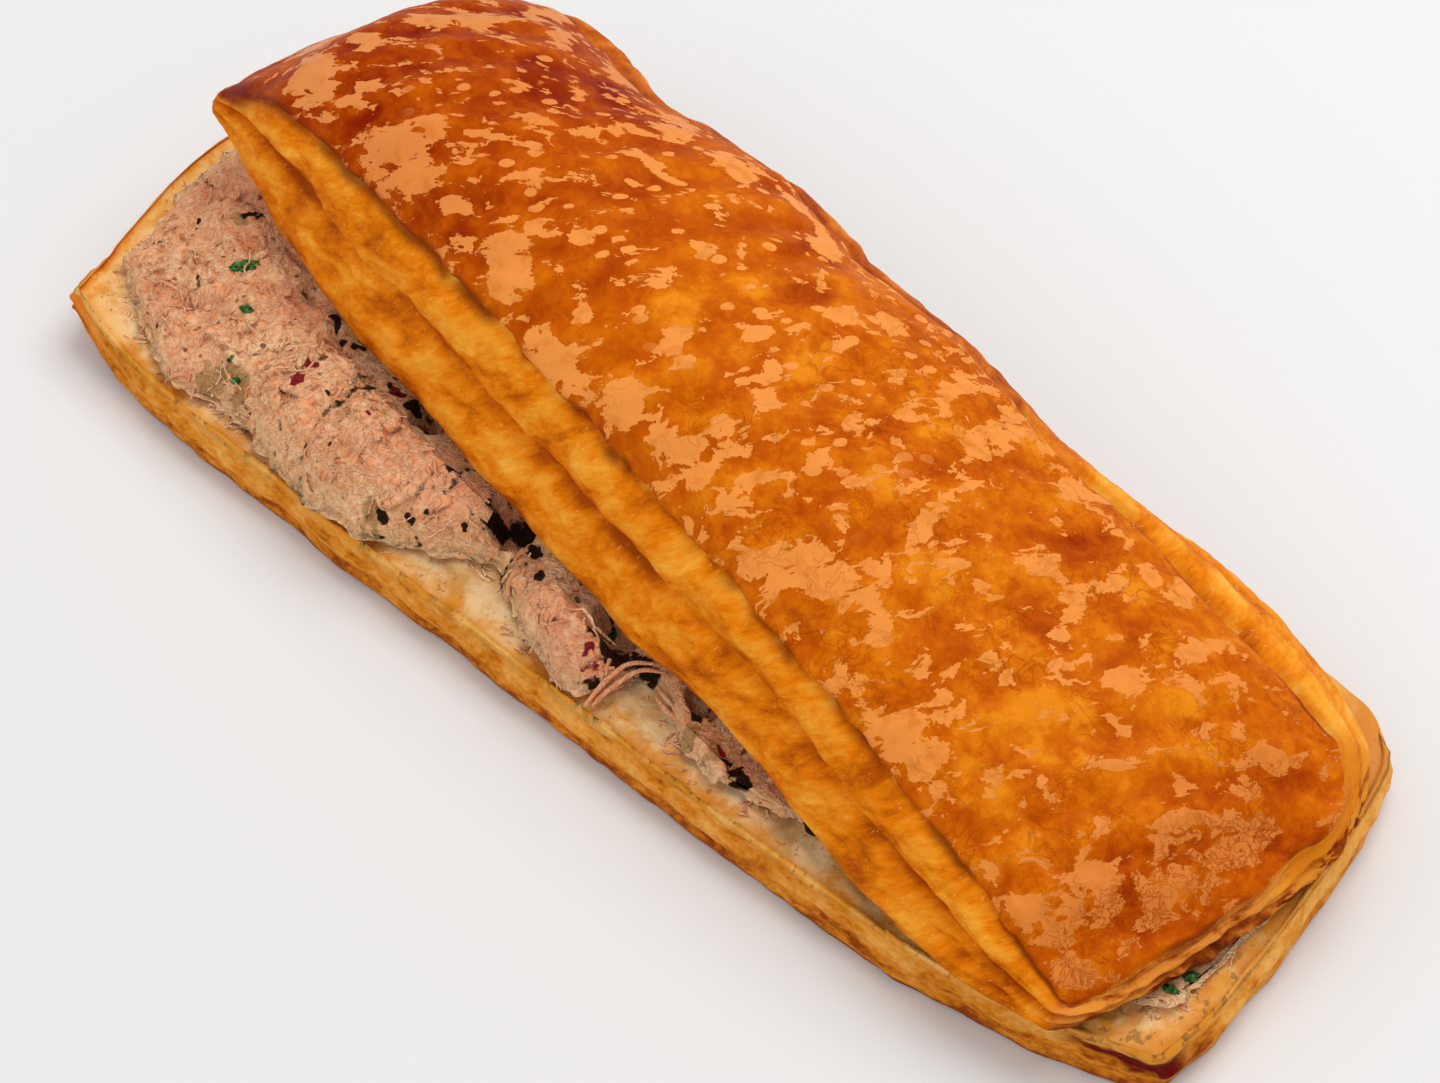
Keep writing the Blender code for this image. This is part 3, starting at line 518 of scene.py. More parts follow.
tuna = {
    "nearEdge": (
        (-0.0815, -0.013), (-0.074, -0.0182), (-0.062, -0.0238), (-0.052, -0.0232), (-0.04, -0.027),
        (-0.032, -0.0274), (-0.022, -0.0246), (-0.014, -0.0205), (-0.006, -0.025), (0.005, -0.028),
        (0.01, -0.0215), (0.02, -0.0262), (0.038, -0.0258), (0.06, -0.0258), (0.0795, -0.019)),
    "leftEnd": ((-0.014, -0.0795), (0, -0.0824), (0.025, -0.0816)),
    "rightEnd": ((-0.024, 0.077), (-0.014, 0.0795), (-0.004, 0.0795), (0.012, 0.0765), (0.026, 0.0715)),
    "farInset": 0.005,
    "plan": (0.158, 0.052, (0.003, 0.003, 0.006, 0.009)),
    "heap": (
        (-0.08, 0.0028), (-0.06, 0.004), (-0.046, 0.0056), (-0.03, 0.0054), (-0.014, 0.0038), (0, 0.0048),
        (0.012, 0.0034), (0.03, 0.0026), (0.06, 0.0016), (0.08, 0.0014)),
    "mounds": (
        (-0.031, -0.0205, 0.0092, 0.0021), (-0.0186, -0.0205, 0.0062, 0.002),
        (-0.0445, -0.0195, 0.007, 0.0009), (-0.0665, -0.011, 0.011, 0.0007),
        (-0.001, -0.0245, 0.0062, 0.0016), (0.0205, -0.025, 0.005, 0.001)),
    "hollows": (
        (-0.044, -0.007, 0.0022, 0.003), (-0.031, -0.0118, 0.003, 0.004), (-0.0145, -0.0165, 0.0032, 0.005),
        (0.004, -0.02, 0.0034, 0.0045), (0.0175, -0.0205, 0.0026, 0.0035), (0.0265, -0.0245, 0.0026, 0.0035),
        (0.0385, -0.0262, 0.0024, 0.0025)),
    "rise": (0.0018, 0.004, 0.012),
    "shoulder": (0.0052, 0.05),  # width, share of the depth at the edge
    "least": 0.00025,
    "belly": 0.0007,
    "lump": 0.0016,
    "lumps": ((1, 0.0085, 8, 0), (0.5, 0.0042, 9, 0)),
    "grit": ((0.00026, 0.0014, 11, 0), (0.00016, 0.0008, 12, 0)),
    "lobes": ((0.0007, 0.0052, 31, 0), (0.0005, 0.0024, 32, 0)),
    "wander": ((0.0007, 0.005, 41, 0), (0.0004, 0.002, 42, 0)),
    "scallop": ((0.0008, 0.0026, 16, 0), (0.0005, 0.001, 17, 0.002)),
    "openShare": 0.7,  # of the skin's rows, those outside the lid
}

tunaSpots = {  # (x, y, radius), in millimetres
    # painted shade in the filling's deep holes and gaps
    "dark": (
        (-70.1, -2.7, 0.8), (-68.4, -2, 0.9), (-49.5, -8.7, 1.3), (-46.6, -9.4, 0.8), (-44.5, -9.8, 0.7),
        (-37.4, -11.4, 1), (-33.9, -12, 1.3), (-31.2, -12.2, 1.3), (-23.1, -17.1, 0.9), (-16.2, -17.4, 1.9),
        (-13.8, -16, 2.2), (-10.6, -18.2, 1.3), (-6.9, -19.9, 1), (3.8, -23.4, 1.4), (6.4, -22.9, 2),
        (8.8, -21.8, 1.6), (5.8, -26.6, 0.9), (10.8, -21.9, 1.3), (18.2, -22.9, 0.9), (24.1, -25.2, 0.9),
        (26.6, -25.3, 1.5), (36, -26.4, 1.2), (-23.6, -24.1, 0.7), (-26.5, -25.7, 0.7), (-36.1, -23.3, 0.5),
        (-41.6, -18.1, 0.6), (-68, -13.2, 0.45), (-77, -5.6, 0.5), (-74.3, -6.6, 0.4), (-23.1, -21.3, 0.45),
        (-18, -20.4, 0.7), (-55.5, -18.6, 0.5), (78.2, -9, 1.4), (77.4, -12, 1.3)),
    "red": (
        (-45.5, -19.4, 1.6), (-47, -18, 1.1), (-46.2, -16.6, 0.9), (-35.6, -17.9, 0.7), (23, -24.4, 0.7),
        (4.8, -25.4, 1.1), (-36.4, -12.6, 1.3)),
    "olive": (
        (-57.1, -22.7, 2.1), (-55.4, -21, 1.7), (-53.2, -22.2, 1.9), (-70.2, -3.6, 1.6), (-11.6, -21.3, 1.6),
        (19.1, -25.3, 1.8), (22.8, -25.2, 1.8), (14, -24, 2), (-27.5, -26.3, 1.6)),
}


def spotShare(kind, x, y):  # 1 in the middle of a spot, 0 or less outside
    x += 0.0013 * rough(x, y, 0, 0.002, 21) + 0.0005 * rough(x, y, 0, 0.0008, 23)
    y += 0.0013 * rough(x, y, 0, 0.002, 22) + 0.0005 * rough(x, y, 0, 0.0008, 24)
    return max(min(1.7 - 1.7 * math.hypot(1000 * x - spotX, 1000 * y - spotY) / radius, 1.0)
               for spotX, spotY, radius in tunaSpots[kind])


def tunaBed(x, y):
    lift, kept = slabCurl(x, y)
    return lift + slab["thickness"] * kept + gap


def tunaNear(x):  # the near edge, with small lobes
    lobes = roughs(x, 0, 0, tuna["lobes"]) * smooth(-0.078, -0.07, x) * (1 - smooth(0.068, 0.076, x))
    return through(tuna["nearEdge"], x) + lobes


def tunaInset(x, y):
    near, far = tunaNear(x), through(slab["farEdge"], x) - tuna["farInset"]
    left, right = through(tuna["leftEnd"], y), through(tuna["rightEnd"], y)
    return min(y - near, x - left, right - x, far - y)


def tunaClumps(x, y):  # large and small
    warpX, warpY = x + 0.0016 * rough(x, y, 0, 0.004, 18), y + 0.0016 * rough(x, y, 0, 0.004, 19)
    return clump(warpX, warpY, 0.0066, 1), clump(warpX, warpY, 0.0029, 2)


def tunaMound(x, y):  # the height that the mounds add, and 1 in the creases round them
    added, crease = 0.0, 0.0
    wander = roughs(x, y, 0, tuna["wander"])
    for moundX, moundY, radius, height in tuna["mounds"]:
        way = (math.hypot(x - moundX, y - moundY) + wander) / radius
        added = max(added, height * max(1 - way * way, 0.0) ** 0.6)
        crease = max(crease, bell(way, 1.03, 0.05) * height / 0.002)
    return added, crease


def tunaHeight(x, y, inset):
    bed = tunaBed(x, y)
    shoulderWidth, edgeShare = tuna["shoulder"]
    shoulder = min(max(inset, 0.0) / shoulderWidth, 1.0)
    rise, riseFrom, riseTo = tuna["rise"]
    depth = through(tuna["heap"], x) + rise * smooth(riseFrom, riseTo, inset)
    depth *= edgeShare + (1 - edgeShare) * math.sqrt(1 - (1 - shoulder) ** 2)
    lumps = tuna["lump"] * roughs(x, y, 0, tuna["lumps"])
    large, small = tunaClumps(x, y)
    lumps += 0.0014 * (large - 0.75) + 0.0008 * (small - 0.7)
    lumps += tunaMound(x, y)[0]
    lumps += roughs(x, y, 0, tuna["grit"])
    free = bed + max(depth + lumps * (0.35 + 0.65 * shoulder), tuna["least"])
    t = lidFrame(x, y)[0]
    clearance = lidClearance(x, y)
    ceiling = straight(lid["underside"], t) - 1.6 * gap + 1.3 * max(clearance - 0.0012, 0.0)
    ceiling -= straight(lid["droop"], t) * smooth(-0.008, -0.002, clearance)
    packed = smooth(-0.001, 0.004, -clearance) * smooth(0.002, 0.009, inset)
    height = min(free + max(ceiling - free, 0.0) * packed, ceiling)
    for hollowX, hollowY, radius, drop in tuna["hollows"]:
        height -= drop * max(1 - ((x - hollowX) ** 2 + (y - hollowY) ** 2) / radius ** 2, 0.0)
    return max(height, bed + tuna["least"])


def tunaSplit(x):  # where the open rows end, just inside the lid's foot
    edge = lid["corner"][1] + (x - lid["corner"][0]) * math.tan(lid["yaw"])
    foot = edge - through(lid["nearLean"], lidFrame(x, edge)[0]) / lidCos
    return max(foot + 0.002, through(tuna["nearEdge"], x) + 0.004)


def tunaPlan(a, b):
    a, b = rounded(a, b, tuna["plan"])
    share = tuna["openShare"]
    x, y = tuna["leftEnd"][0][1] + tuna["plan"][0] * a, 0.0
    for attempt in range(3):
        near, split = tunaNear(x), tunaSplit(x)
        far = through(slab["farEdge"], x) - tuna["farInset"]
        y = near + (split - near) * min(b / share, 1.0) + (far - split) * max(b - share, 0.0) / (1 - share)
        left, right = through(tuna["leftEnd"], y), through(tuna["rightEnd"], y)
        x = left + (right - left) * a
    return x, y


def tunaShape(a, b, c):
    x, y = tunaPlan(a, b)
    bed, inset = tunaBed(x, y), tunaInset(x, y)
    z = bed + c * (tunaHeight(x, y, inset) - bed)
    outA, outB = outward(a, b, tuna["plan"])
    if outA or outB:
        belly = roughs(x, y, c, tuna["scallop"]) - 0.0003 + tuna["belly"] * (0.001 < c < onTop)
        x += belly * outA
        y += belly * outB
    openness = smooth(0.0004, 0.0022, lidClearance(x, y)) * smooth(-0.0002, 0.0012, inset) * (c > 0.4)
    # the first tint is painted shade: dark spots in the holes, and the creases between clumps and round the
    # mounds
    dark, red, olive = (max(spotShare(kind, x, y), 0.0) for kind in tunaSpots)
    large, small = tunaClumps(x, y)
    crease = 0.24 * smooth(-0.15, 0.3, -large) + 0.42 * tunaMound(x, y)[1]
    crease += 0.22 * smooth(-0.1, 0.35, -small)
    return settled(x, y, z), (x, y, z), (inset, openness, z - bed), (max(dark, crease), red, olive)


# Material and geometry recipes, written as expressions

class Wire:  # one socket of a recipe
    def __init__(self, recipe, socket):
        self.recipe, self.socket = recipe, socket

    def sum(self, operation, *values):
        return self.recipe.add("ShaderNodeMath", {"operation": operation}, dict(enumerate(values)))

    __add__ = __radd__ = lambda self, other: self.sum("ADD", self, other)
    __sub__ = lambda self, other: self.sum("SUBTRACT", self, other)
    __rsub__ = lambda self, other: self.sum("SUBTRACT", other, self)
    __mul__ = __rmul__ = lambda self, other: self.sum("MULTIPLY", self, other)
    __truediv__ = lambda self, other: self.sum("DIVIDE", self, other)
    least = lambda self, other: self.sum("MINIMUM", self, other)
    most = lambda self, other: self.sum("MAXIMUM", self, other)

    def step(self, low, high):  # 0 below low, 1 above high, smooth between
        return self.recipe.add("ShaderNodeMapRange", {"interpolation_type": "SMOOTHSTEP"},
                               Value=self, From_Min=low, From_Max=high)

    def line(self, thinness):  # 1 where this noise crosses its middle, 0 elsewhere
        return 1 - (self.sum("ABSOLUTE", self - 0.5) * thinness).least(1.0)


class Recipe:  # a node tree, and the tones that it may name
    def __init__(self, tree, tones=None, material=None):
        self.tree, self.tones, self.material = tree, tones, material

    def add(self, kind, settings=None, numbered=None, out=0, **named):
        node = self.tree.nodes.new(kind)
        for name, value in (settings or {}).items():
            if name == "stops":
                self.setStops(node.color_ramp, value)
            else:
                setattr(node, name, value)
        for number, value in (numbered or {}).items():
            self.plug(node.inputs[number], value)
        for name, value in named.items():
            self.plug(node.inputs[name.replace("_", " ")], value)
        return None if out is None else Wire(self, node.outputs[out])

    def shade(self, value):  # from a tone's name, a colour or a plain grey
        value = self.tones[value] if isinstance(value, str) else value
        return (*(value if isinstance(value, tuple) else (value,) * 3), 1.0)

    def setStops(self, ramp, stops):
        while len(ramp.elements) < len(stops):
            ramp.elements.new(0.5)
        for element, (place, value) in zip(ramp.elements, stops):
            element.position, element.color = place, self.shade(value)

    def plug(self, socket, value):
        if isinstance(value, Wire):
            self.tree.links.new(value.socket, socket)
        elif socket.type == "RGBA":
            socket.default_value = self.shade(value)
        else:
            socket.default_value = value

    def part(self, vector, part):
        return self.add("ShaderNodeSeparateXYZ", Vector=vector, out="XYZ".index(part))

    def attribute(self, name, part=None):
        vector = self.add("ShaderNodeAttribute", {"attribute_name": name}, out="Vector")
        return vector if part is None else self.part(vector, part)

    def vectors(self, operation, first, second):
        return self.add("ShaderNodeVectorMath", {"operation": operation},
                        {0: first, "Scale" if operation == "SCALE" else 1: second})

    def drawnOut(self, vector, times, turn=0.0):  # a pattern drawn out by these factors, along turned axes
        return self.add("ShaderNodeMapping", {"vector_type": "TEXTURE"}, Vector=vector,
                        Rotation=(0.0, 0.0, math.radians(turn)), Scale=times)

    def grain(self, vector, scale, detail, roughness=0.5, distortion=0):
        return self.add("ShaderNodeTexNoise", Vector=vector, Scale=scale, Detail=detail,
                        Roughness=roughness, Distortion=distortion)

    def ramp(self, value, *stops):
        return self.add("ShaderNodeValToRGB", {"stops": stops}, Fac=value)

    def blend(self, share, first, second):
        return self.add("ShaderNodeMix", {"data_type": "RGBA"}, {0: share, 6: first, 7: second}, out=2)

    def coats(self, colour, *coats):  # each coat is a share and a tone, laid over what is there
        for share, shown in coats:
            colour = self.blend(share, colour, shown)
        return colour


shredInputs = ("Density", "Length", "Width", "Flat", "Bend", "Tilt", "Sink", "Edge", "Ground", "Seed",
               "Finish")


def shredTree():  # tapered, bent shreds that lie on the ground where its mark says that it is open
    tree = bpy.data.node_groups.new("shreds", "GeometryNodeTree")
    r = Recipe(tree)
    kinds = {"Geometry": "Geometry", "Seed": "Int", "Finish": "Material"}
    tree.interface.new_socket("Geometry", in_out="OUTPUT", socket_type="NodeSocketGeometry")
    for label in ("Geometry", *shredInputs):
        tree.interface.new_socket(label, in_out="INPUT", socket_type="NodeSocket" + kinds.get(label, "Float"))
    given = {label: r.add("NodeGroupInput", out=label) for label in ("Geometry", *shredInputs)}

    def grow(kind, **values):
        return r.add("GeometryNode" + kind, **values)

    def marked(label):
        return r.add("GeometryNodeInputNamedAttribute", {"data_type": "FLOAT_VECTOR"}, Name=label)

    def chance(reach, seed):  # a number from -reach to reach for each shred
        return r.add("FunctionNodeRandomValue", {"data_type": "FLOAT"}, {2: -reach, 3: reach}, 1, Seed=seed)

    marks, tints = marked("marks"), marked("tints")
    nearEdge = 1 - r.part(marks, "X").step(0.001, 0.006)
    onHeap = r.part(marks, "Y") * (1 + given["Edge"] * nearEdge) * (1 - r.part(tints, "X"))
    density = given["Density"] * (onHeap + (r.part(tints, "Z") - onHeap) * given["Ground"])
    spots = r.add("GeometryNodeDistributePointsOnFaces", {"distribute_method": "RANDOM"},
                  Mesh=given["Geometry"], Density=density, Seed=given["Seed"], out="Points")
    facing = Wire(r, spots.socket.node.outputs["Rotation"])
    line = grow("CurvePrimitiveLine", Start=(-0.5, 0.0, 0.0), End=(0.5, 0.0, 0.0))
    line = grow("ResampleCurve", Curve=line, Count=8)
    share = grow("SplineParameter", out="Factor")
    swell = (4 * share * (1 - share)).most(0.05)
    line = grow("SetCurveRadius", Curve=line, Radius=swell.sum("POWER", swell, 0.45))
    ring = grow("CurvePrimitiveCircle", Resolution=5, Radius=0.5)
    shred = grow("CurveToMesh", Curve=line, Profile_Curve=ring, Fill_Caps=True)
    width = given["Width"]
    scale = r.add("ShaderNodeCombineXYZ", X=given["Length"], Y=width, Z=width * given["Flat"])
    shred = grow("Transform", Geometry=shred, Scale=scale)
    swirl = r.grain(grow("InputPosition"), 130.0, 1.0) * 14.0  # neighbours lie much the same way
    turn = r.add("ShaderNodeCombineXYZ", Y=chance(1.0, 4) * given["Tilt"], Z=swirl + chance(0.9, 3))
    turned = r.add("FunctionNodeRotateRotation", {"rotation_space": "LOCAL"}, Rotation=facing,
                   Rotate_By=r.add("FunctionNodeEulerToRotation", Euler=turn))
    size = r.add("FunctionNodeRandomValue", {"data_type": "FLOAT_VECTOR"},
                 {0: (0.45, 0.65, 0.65), 1: (1.3, 1.35, 1.35)}, Seed=5)
    shreds = grow("InstanceOnPoints", Points=spots, Instance=shred, Rotation=turned, Scale=size)
    shreds = grow("RealizeInstances", Geometry=shreds)
    waves = r.add("ShaderNodeTexNoise", Vector=grow("InputPosition"), Scale=330.0, Detail=1.0, out="Color")
    waves = r.vectors("SCALE", r.vectors("SUBTRACT", waves, (0.5, 0.5, 0.5)), given["Bend"])
    down = r.add("ShaderNodeCombineXYZ", Z=given["Sink"] * -1.0)
    shreds = grow("SetPosition", Geometry=shreds, Offset=r.vectors("ADD", waves, down))
    shreds = grow("SetShadeSmooth", Geometry=shreds)
    shreds = grow("SetMaterial", Geometry=shreds, Material=given["Finish"])
    r.add("NodeGroupOutput", Geometry=shreds, out=None)
    return tree


def grown(name, ground, tree, settings):  # the tree's pieces on this ground, as a plain mesh
    piece = placed(name, ground.data)
    growth = piece.modifiers.new("growth", "NODES")
    growth.node_group = tree
    for socket in tree.interface.items_tree:
        if socket.in_out == "INPUT" and socket.name in settings:
            growth[socket.identifier] = settings[socket.name]
    graph = bpy.context.evaluated_depsgraph_get()
    mesh = bpy.data.meshes.new_from_object(piece.evaluated_get(graph))
    piece.modifiers.clear()
    piece.data = mesh
    mesh.name = name
    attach(piece, "root")
    print(name, len(mesh.polygons), "faces")
    return piece


def tone(red, green, blue):  # a colour as a screen shows it, made linear
    return tuple(v / 255 / 12.92 if v / 255 <= 0.04045 else ((v / 255 + 0.055) / 1.055) ** 2.4
                 for v in (red, green, blue))


def tones(shown):  # the same for all of a finish's colours, and for the stops of its ramps
    return {name: tuple((at, tone(*colour)) for at, colour in value) if isinstance(value[0], tuple)
            else tone(*value) for name, value in shown.items()}


def newMaterial(name, tones=None):
    material = bpy.data.materials.new(name)
    material.use_nodes = True
    return Recipe(material.node_tree, tones, material)


def finished(r, colour, roughness, bump, specular, **others):  # the recipe's material, its shader set
    sockets = {"Base Color": colour, "Roughness": roughness, "Specular IOR Level": specular, "IOR": 1.45}
    if bump:  # height, distance, strength
        sockets["Normal"] = r.add("ShaderNodeBump", Height=bump[0], Distance=bump[1], Strength=bump[2])
    for name, value in {**sockets, **others}.items():
        r.plug(r.tree.nodes["Principled BSDF"].inputs[name], value)
    return r.material


def brokenEdge(r, place):  # where an edge is browned and where it isn't
    return r.grain(place, 90, 3, 0.6).step(0.42, 0.6)


# Finishes. Noise is given by its scale per metre, detail, roughness and distortion.

crustTones = tones({
    "ramp": ((0, (138, 30, 0)), (0.16, (158, 50, 0)), (0.36, (184, 74, 0)), (0.56, (204, 93, 2)),
             (0.76, (222, 114, 6)), (1, (240, 140, 22))),
    # colours of the painted reflection of the light in the glaze
    "paintedReflection": ((0, (228, 148, 86)), (0.22, (236, 140, 68)), (0.4, (250, 156, 72)), (0.85, (247, 150, 64)),
             (1, (224, 128, 54))),
    "thin": (218, 116, 36),
    "crack": (176, 70, 2),
    "scorch": (112, 12, 2),
    "edge": (128, 44, 2),
})
crustLook = {
    "level": ((0, 0.3), (0.16, 0.28), (0.26, 0.34), (0.38, 0.53), (0.55, 0.65), (0.8, 0.66), (0.93, 0.66),
              (0.98, 0.42)),  # how pale the crust is along the lid
    "reflectionCover": 0.52,
    "reflectionEdge": 0.014,
}


def glazedCrust():
    r = newMaterial("glazed_crust_painted_reflection", crustTones)
    place = r.attribute("place")
    t, w = r.part(place, "X"), r.part(place, "Y")
    rim, crest = r.attribute("marks", "X"), r.attribute("marks", "Z")
    # where the painted reflection lies, and the crust's own amber patches less the painted dark reflection
    cover, amberAndDarkReflection = r.attribute("tints", "X"), r.attribute("tints", "Y")
    along = t / lidLength
    broad = r.grain(place, 120, 3, 0.55)
    mottle = r.grain(place, 420, 4, 0.6, 0.3)
    specks = r.grain(place, 1500, 3, 0.6)
    value = r.ramp(along, *crustLook["level"]) + 0.85 * (broad - 0.5) + 0.45 * (mottle - 0.5)
    # lighter on the ripples' crests and darker in their troughs: painted highlight and painted shade
    value = value + 0.06 * (mottle.step(0.5, 0.55) - 0.5) + 0.09 * crest + amberAndDarkReflection * (0.08 + 0.34 * mottle)
    flecks = r.grain(place, 500, 4, 0.62, 0.35)
    flecks = 0.08 * flecks.step(0.53, 0.56) - 0.08 * (1 - flecks.step(0.41, 0.44))
    value = value + flecks * (0.15 + 0.85 * along.step(0.4, 0.65))
    base = r.ramp(value + 0.16 * (specks - 0.5), *crustTones["ramp"])

    # painted reflection of the light in the glaze: sharp-edged pale patches, drawn out across the lid at the
    # left and rounder to the right
    leftReflection = r.grain(r.drawnOut(place, (2, 1, 1), 45), 560, 4, 0.6, 0.3)
    rightReflection = r.grain(r.drawnOut(place, (1.5, 1, 1), 70), 440, 4, 0.62, 0.4)
    field = leftReflection + (rightReflection - leftReflection) * along.step(0.3, 0.6)
    # a painted reflection along the far rim, and more of it on the ripples' crests
    farRimReflection = w.step(0.033, 0.038) * along.step(0.18, 0.24) * (1 - along.step(0.72, 0.84))
    field = field + 0.14 * cover.most(-0.5) + 0.02 * crest + 0.045 * farRimReflection
    paintedReflection = field.step(crustLook["reflectionCover"], crustLook["reflectionCover"] + crustLook["reflectionEdge"])
    cells = {"Vector": r.drawnOut(place, (1.5, 1, 1), 60), "Scale": 470}
    reach = r.add("ShaderNodeTexVoronoi", **cells, out="Distance") + 0.5 * (mottle - 0.5)
    chosen = r.part(r.add("ShaderNodeTexVoronoi", **cells, out="Color"), "X").step(0.62, 0.63)
    drops = (1 - reach.step(0.27, 0.31)) * chosen * along.step(0.1, 0.16)
    paintedReflection = paintedReflection.most(drops * (1 - along.step(0.62, 0.7)) * w.step(0.007, 0.012))
    worms = r.grain(place, 700, 3, 0.6, 1).line(22)
    paintedReflection = paintedReflection * (1 - worms * along.step(0.95, 0.98))
    # a deeper tone that breaks up the painted reflection
    thin = r.grain(place, 420, 4, 0.6).step(0.5, 0.72) * 0.55
    reflectionTone = r.blend(thin, r.ramp(along, *crustTones["paintedReflection"]), "thin")
    cracks = r.grain(place, 330, 4, 0.6, 0.8).line(26)
    cracks = cracks * along.step(0.35, 0.6) * r.grain(place, 150, 2).step(0.4, 0.6)
    edge = (1 - rim.step(0.0001, 0.0007)) * brokenEdge(r, place)
    corner = (1 - t.step(0.003, 0.01)) * (1 - w.step(0.0006, 0.003))
    colour = r.coats(
        base, (paintedReflection * 0.96, reflectionTone), (cracks * (0.42 - 0.25 * paintedReflection), "crack"), (edge * 0.85, "edge"),
        (corner * 0.9, "scorch"))
    height = paintedReflection * 0.3 + mottle * 0.6 + 0.3 * specks - 0.4 * cracks
    return finished(r, colour, 0.42 - 0.08 * paintedReflection + 0.08 * mottle, (height, 0.00024, 0.7), 0.03,
                    **{"Coat Weight": paintedReflection * 0.05, "Coat Roughness": 0.25})


layerTones = tones({
    "deep": (184, 82, 0),
    "body": (238, 128, 4),
    "pale": (255, 170, 50),
    "tip": (255, 196, 98),
    "rolled": ((0.2, (150, 54, 2)), (0.5, (198, 90, 8)), (0.8, (232, 134, 44))),
    "end": ((0.2, (112, 30, 4)), (0.45, (178, 78, 12)), (0.75, (236, 146, 56))),
    # painted shade in the groove and the creases
    "crease": (164, 66, 0),
    "amber": (222, 124, 12),
    "foot": (128, 58, 8),
    # painted shade under the lid
    "gap": (62, 22, 8),
})
# lighter on the upper faces of the two swelling bands, darker in the groove and at the foot: painted
# highlight and painted shade
bandLightAndShade = ((0, 0), (0.22, 0.3), (0.36, 1), (0.6, 0.25), (0.84, 0.95), (1, 0.2))  # up the side


def flakyLayers():
    r = newMaterial("flaky_layers_lid", layerTones)
    place = r.attribute("place")
    t, w, z = r.part(place, "X"), r.part(place, "Y"), r.part(place, "Z")
    level, crease = r.attribute("marks", "Y"), r.attribute("marks", "Z")
    rolled, end = r.attribute("tints", "X"), r.attribute("tints", "Y")
    upright = r.add("ShaderNodeCombineXYZ", X=t, Y=z, Z=w)
    broad = r.grain(r.drawnOut(upright, (2, 1, 2), 22), 300, 4, 0.55, 0.5)
    fine = r.grain(r.drawnOut(upright, (1.8, 1, 1.8), 35), 1200, 4, 0.65, 0.3)
    hair = r.grain(r.drawnOut(upright, (3, 1, 3), 30), 3200, 2)
    sway = broad - 0.5
    # lighter where the bump rises and darker in the creases: painted highlight and painted shade on the
    # layers
    value = 0.4 + 0.16 * r.ramp(level, *bandLightAndShade) + 1.35 * sway + 0.55 * (fine - 0.5)
    value = value + 0.2 * (hair - 0.5) - 0.24 * crease
    colour = r.ramp(value, (0.15, "deep"), (0.46, "body"), (0.78, "pale"), (0.98, "tip"))
    glints = r.grain(place, 2300, 2).step(0.64, 0.72)
    colour = r.coats(colour, (crease.step(0.35, 0.95) * 0.75, "crease"), (glints * 0.45, "tip"))

    # the far side's rolled layers and both ends are browner, and the right end shows its layers flat
    rolled = rolled * (level + 0.5 * sway).step(0.25, 0.55)
    end = end * (level + 0.5 * sway).step(-0.2, 0.1)
    strata = r.grain(r.drawnOut(place, (5, 5, 1)), 1500, 3, 0.6, 0.4)
    value = value + end * (1.5 * (strata - 0.5) + 0.45 * (level - 0.5))
    browned = r.blend(end, r.ramp(value, *layerTones["rolled"]), r.ramp(value, *layerTones["end"]))
    farEnd = w.step(0.023, 0.028)
    # painted shade under the ends, where they meet the filling
    endGapShade = end * (1 - (level + 0.3 * sway).step(0.14, 0.42)) * (1 - 0.75 * farEnd)
    # the foot's own browned line, and gapShade: painted shade just above the filling
    foot = 1 - (level + 0.1 * sway).step(0.08, 0.24)
    gapShade = 1 - (level + 0.12 * (r.grain(place, 160, 2) - 0.5)).step(0.02, 0.11)
    lip = (level + 0.05 * sway).step(0.93, 0.99) * brokenEdge(r, place)
    bare = end * w.step(0.026, 0.03) * (level + 0.3 * sway).step(0.42, 0.5)
    corner = (1 - t.step(0.004, 0.012)) * level.step(0.8, 0.92)
    colour = r.coats(
        colour, (rolled.most(end) * 0.94, browned), (endGapShade * 0.95, "gap"),
        (end * farEnd * strata.step(0.42, 0.5) * 0.6, "pale"), (foot * 0.6, "foot"),
        (gapShade * 0.85 * t.step(0.025, 0.036), "gap"),
        (lip * (0.75 - 0.5 * w.step(0.03, 0.036)), crustTones["edge"]), (bare * 0.85, "amber"),
        (corner * 0.85, crustTones["scorch"]))
    return finished(r, colour, 0.52 + 0.15 * fine, (broad + 0.5 * fine + 0.2 * hair, 0.00055, 0.75), 0.05)


slabTones = tones({
    "cream": (246, 210, 156),
    "oily": (220, 166, 98),
    "olive": (150, 108, 58),
    "gold": (232, 148, 40),
    "side": (222, 132, 26),
    "baked": (150, 66, 8),
    "pale": (250, 184, 92),
    "scorch": (104, 10, 4),
    "tip": (224, 108, 6),
    "amber": (232, 146, 60),
})


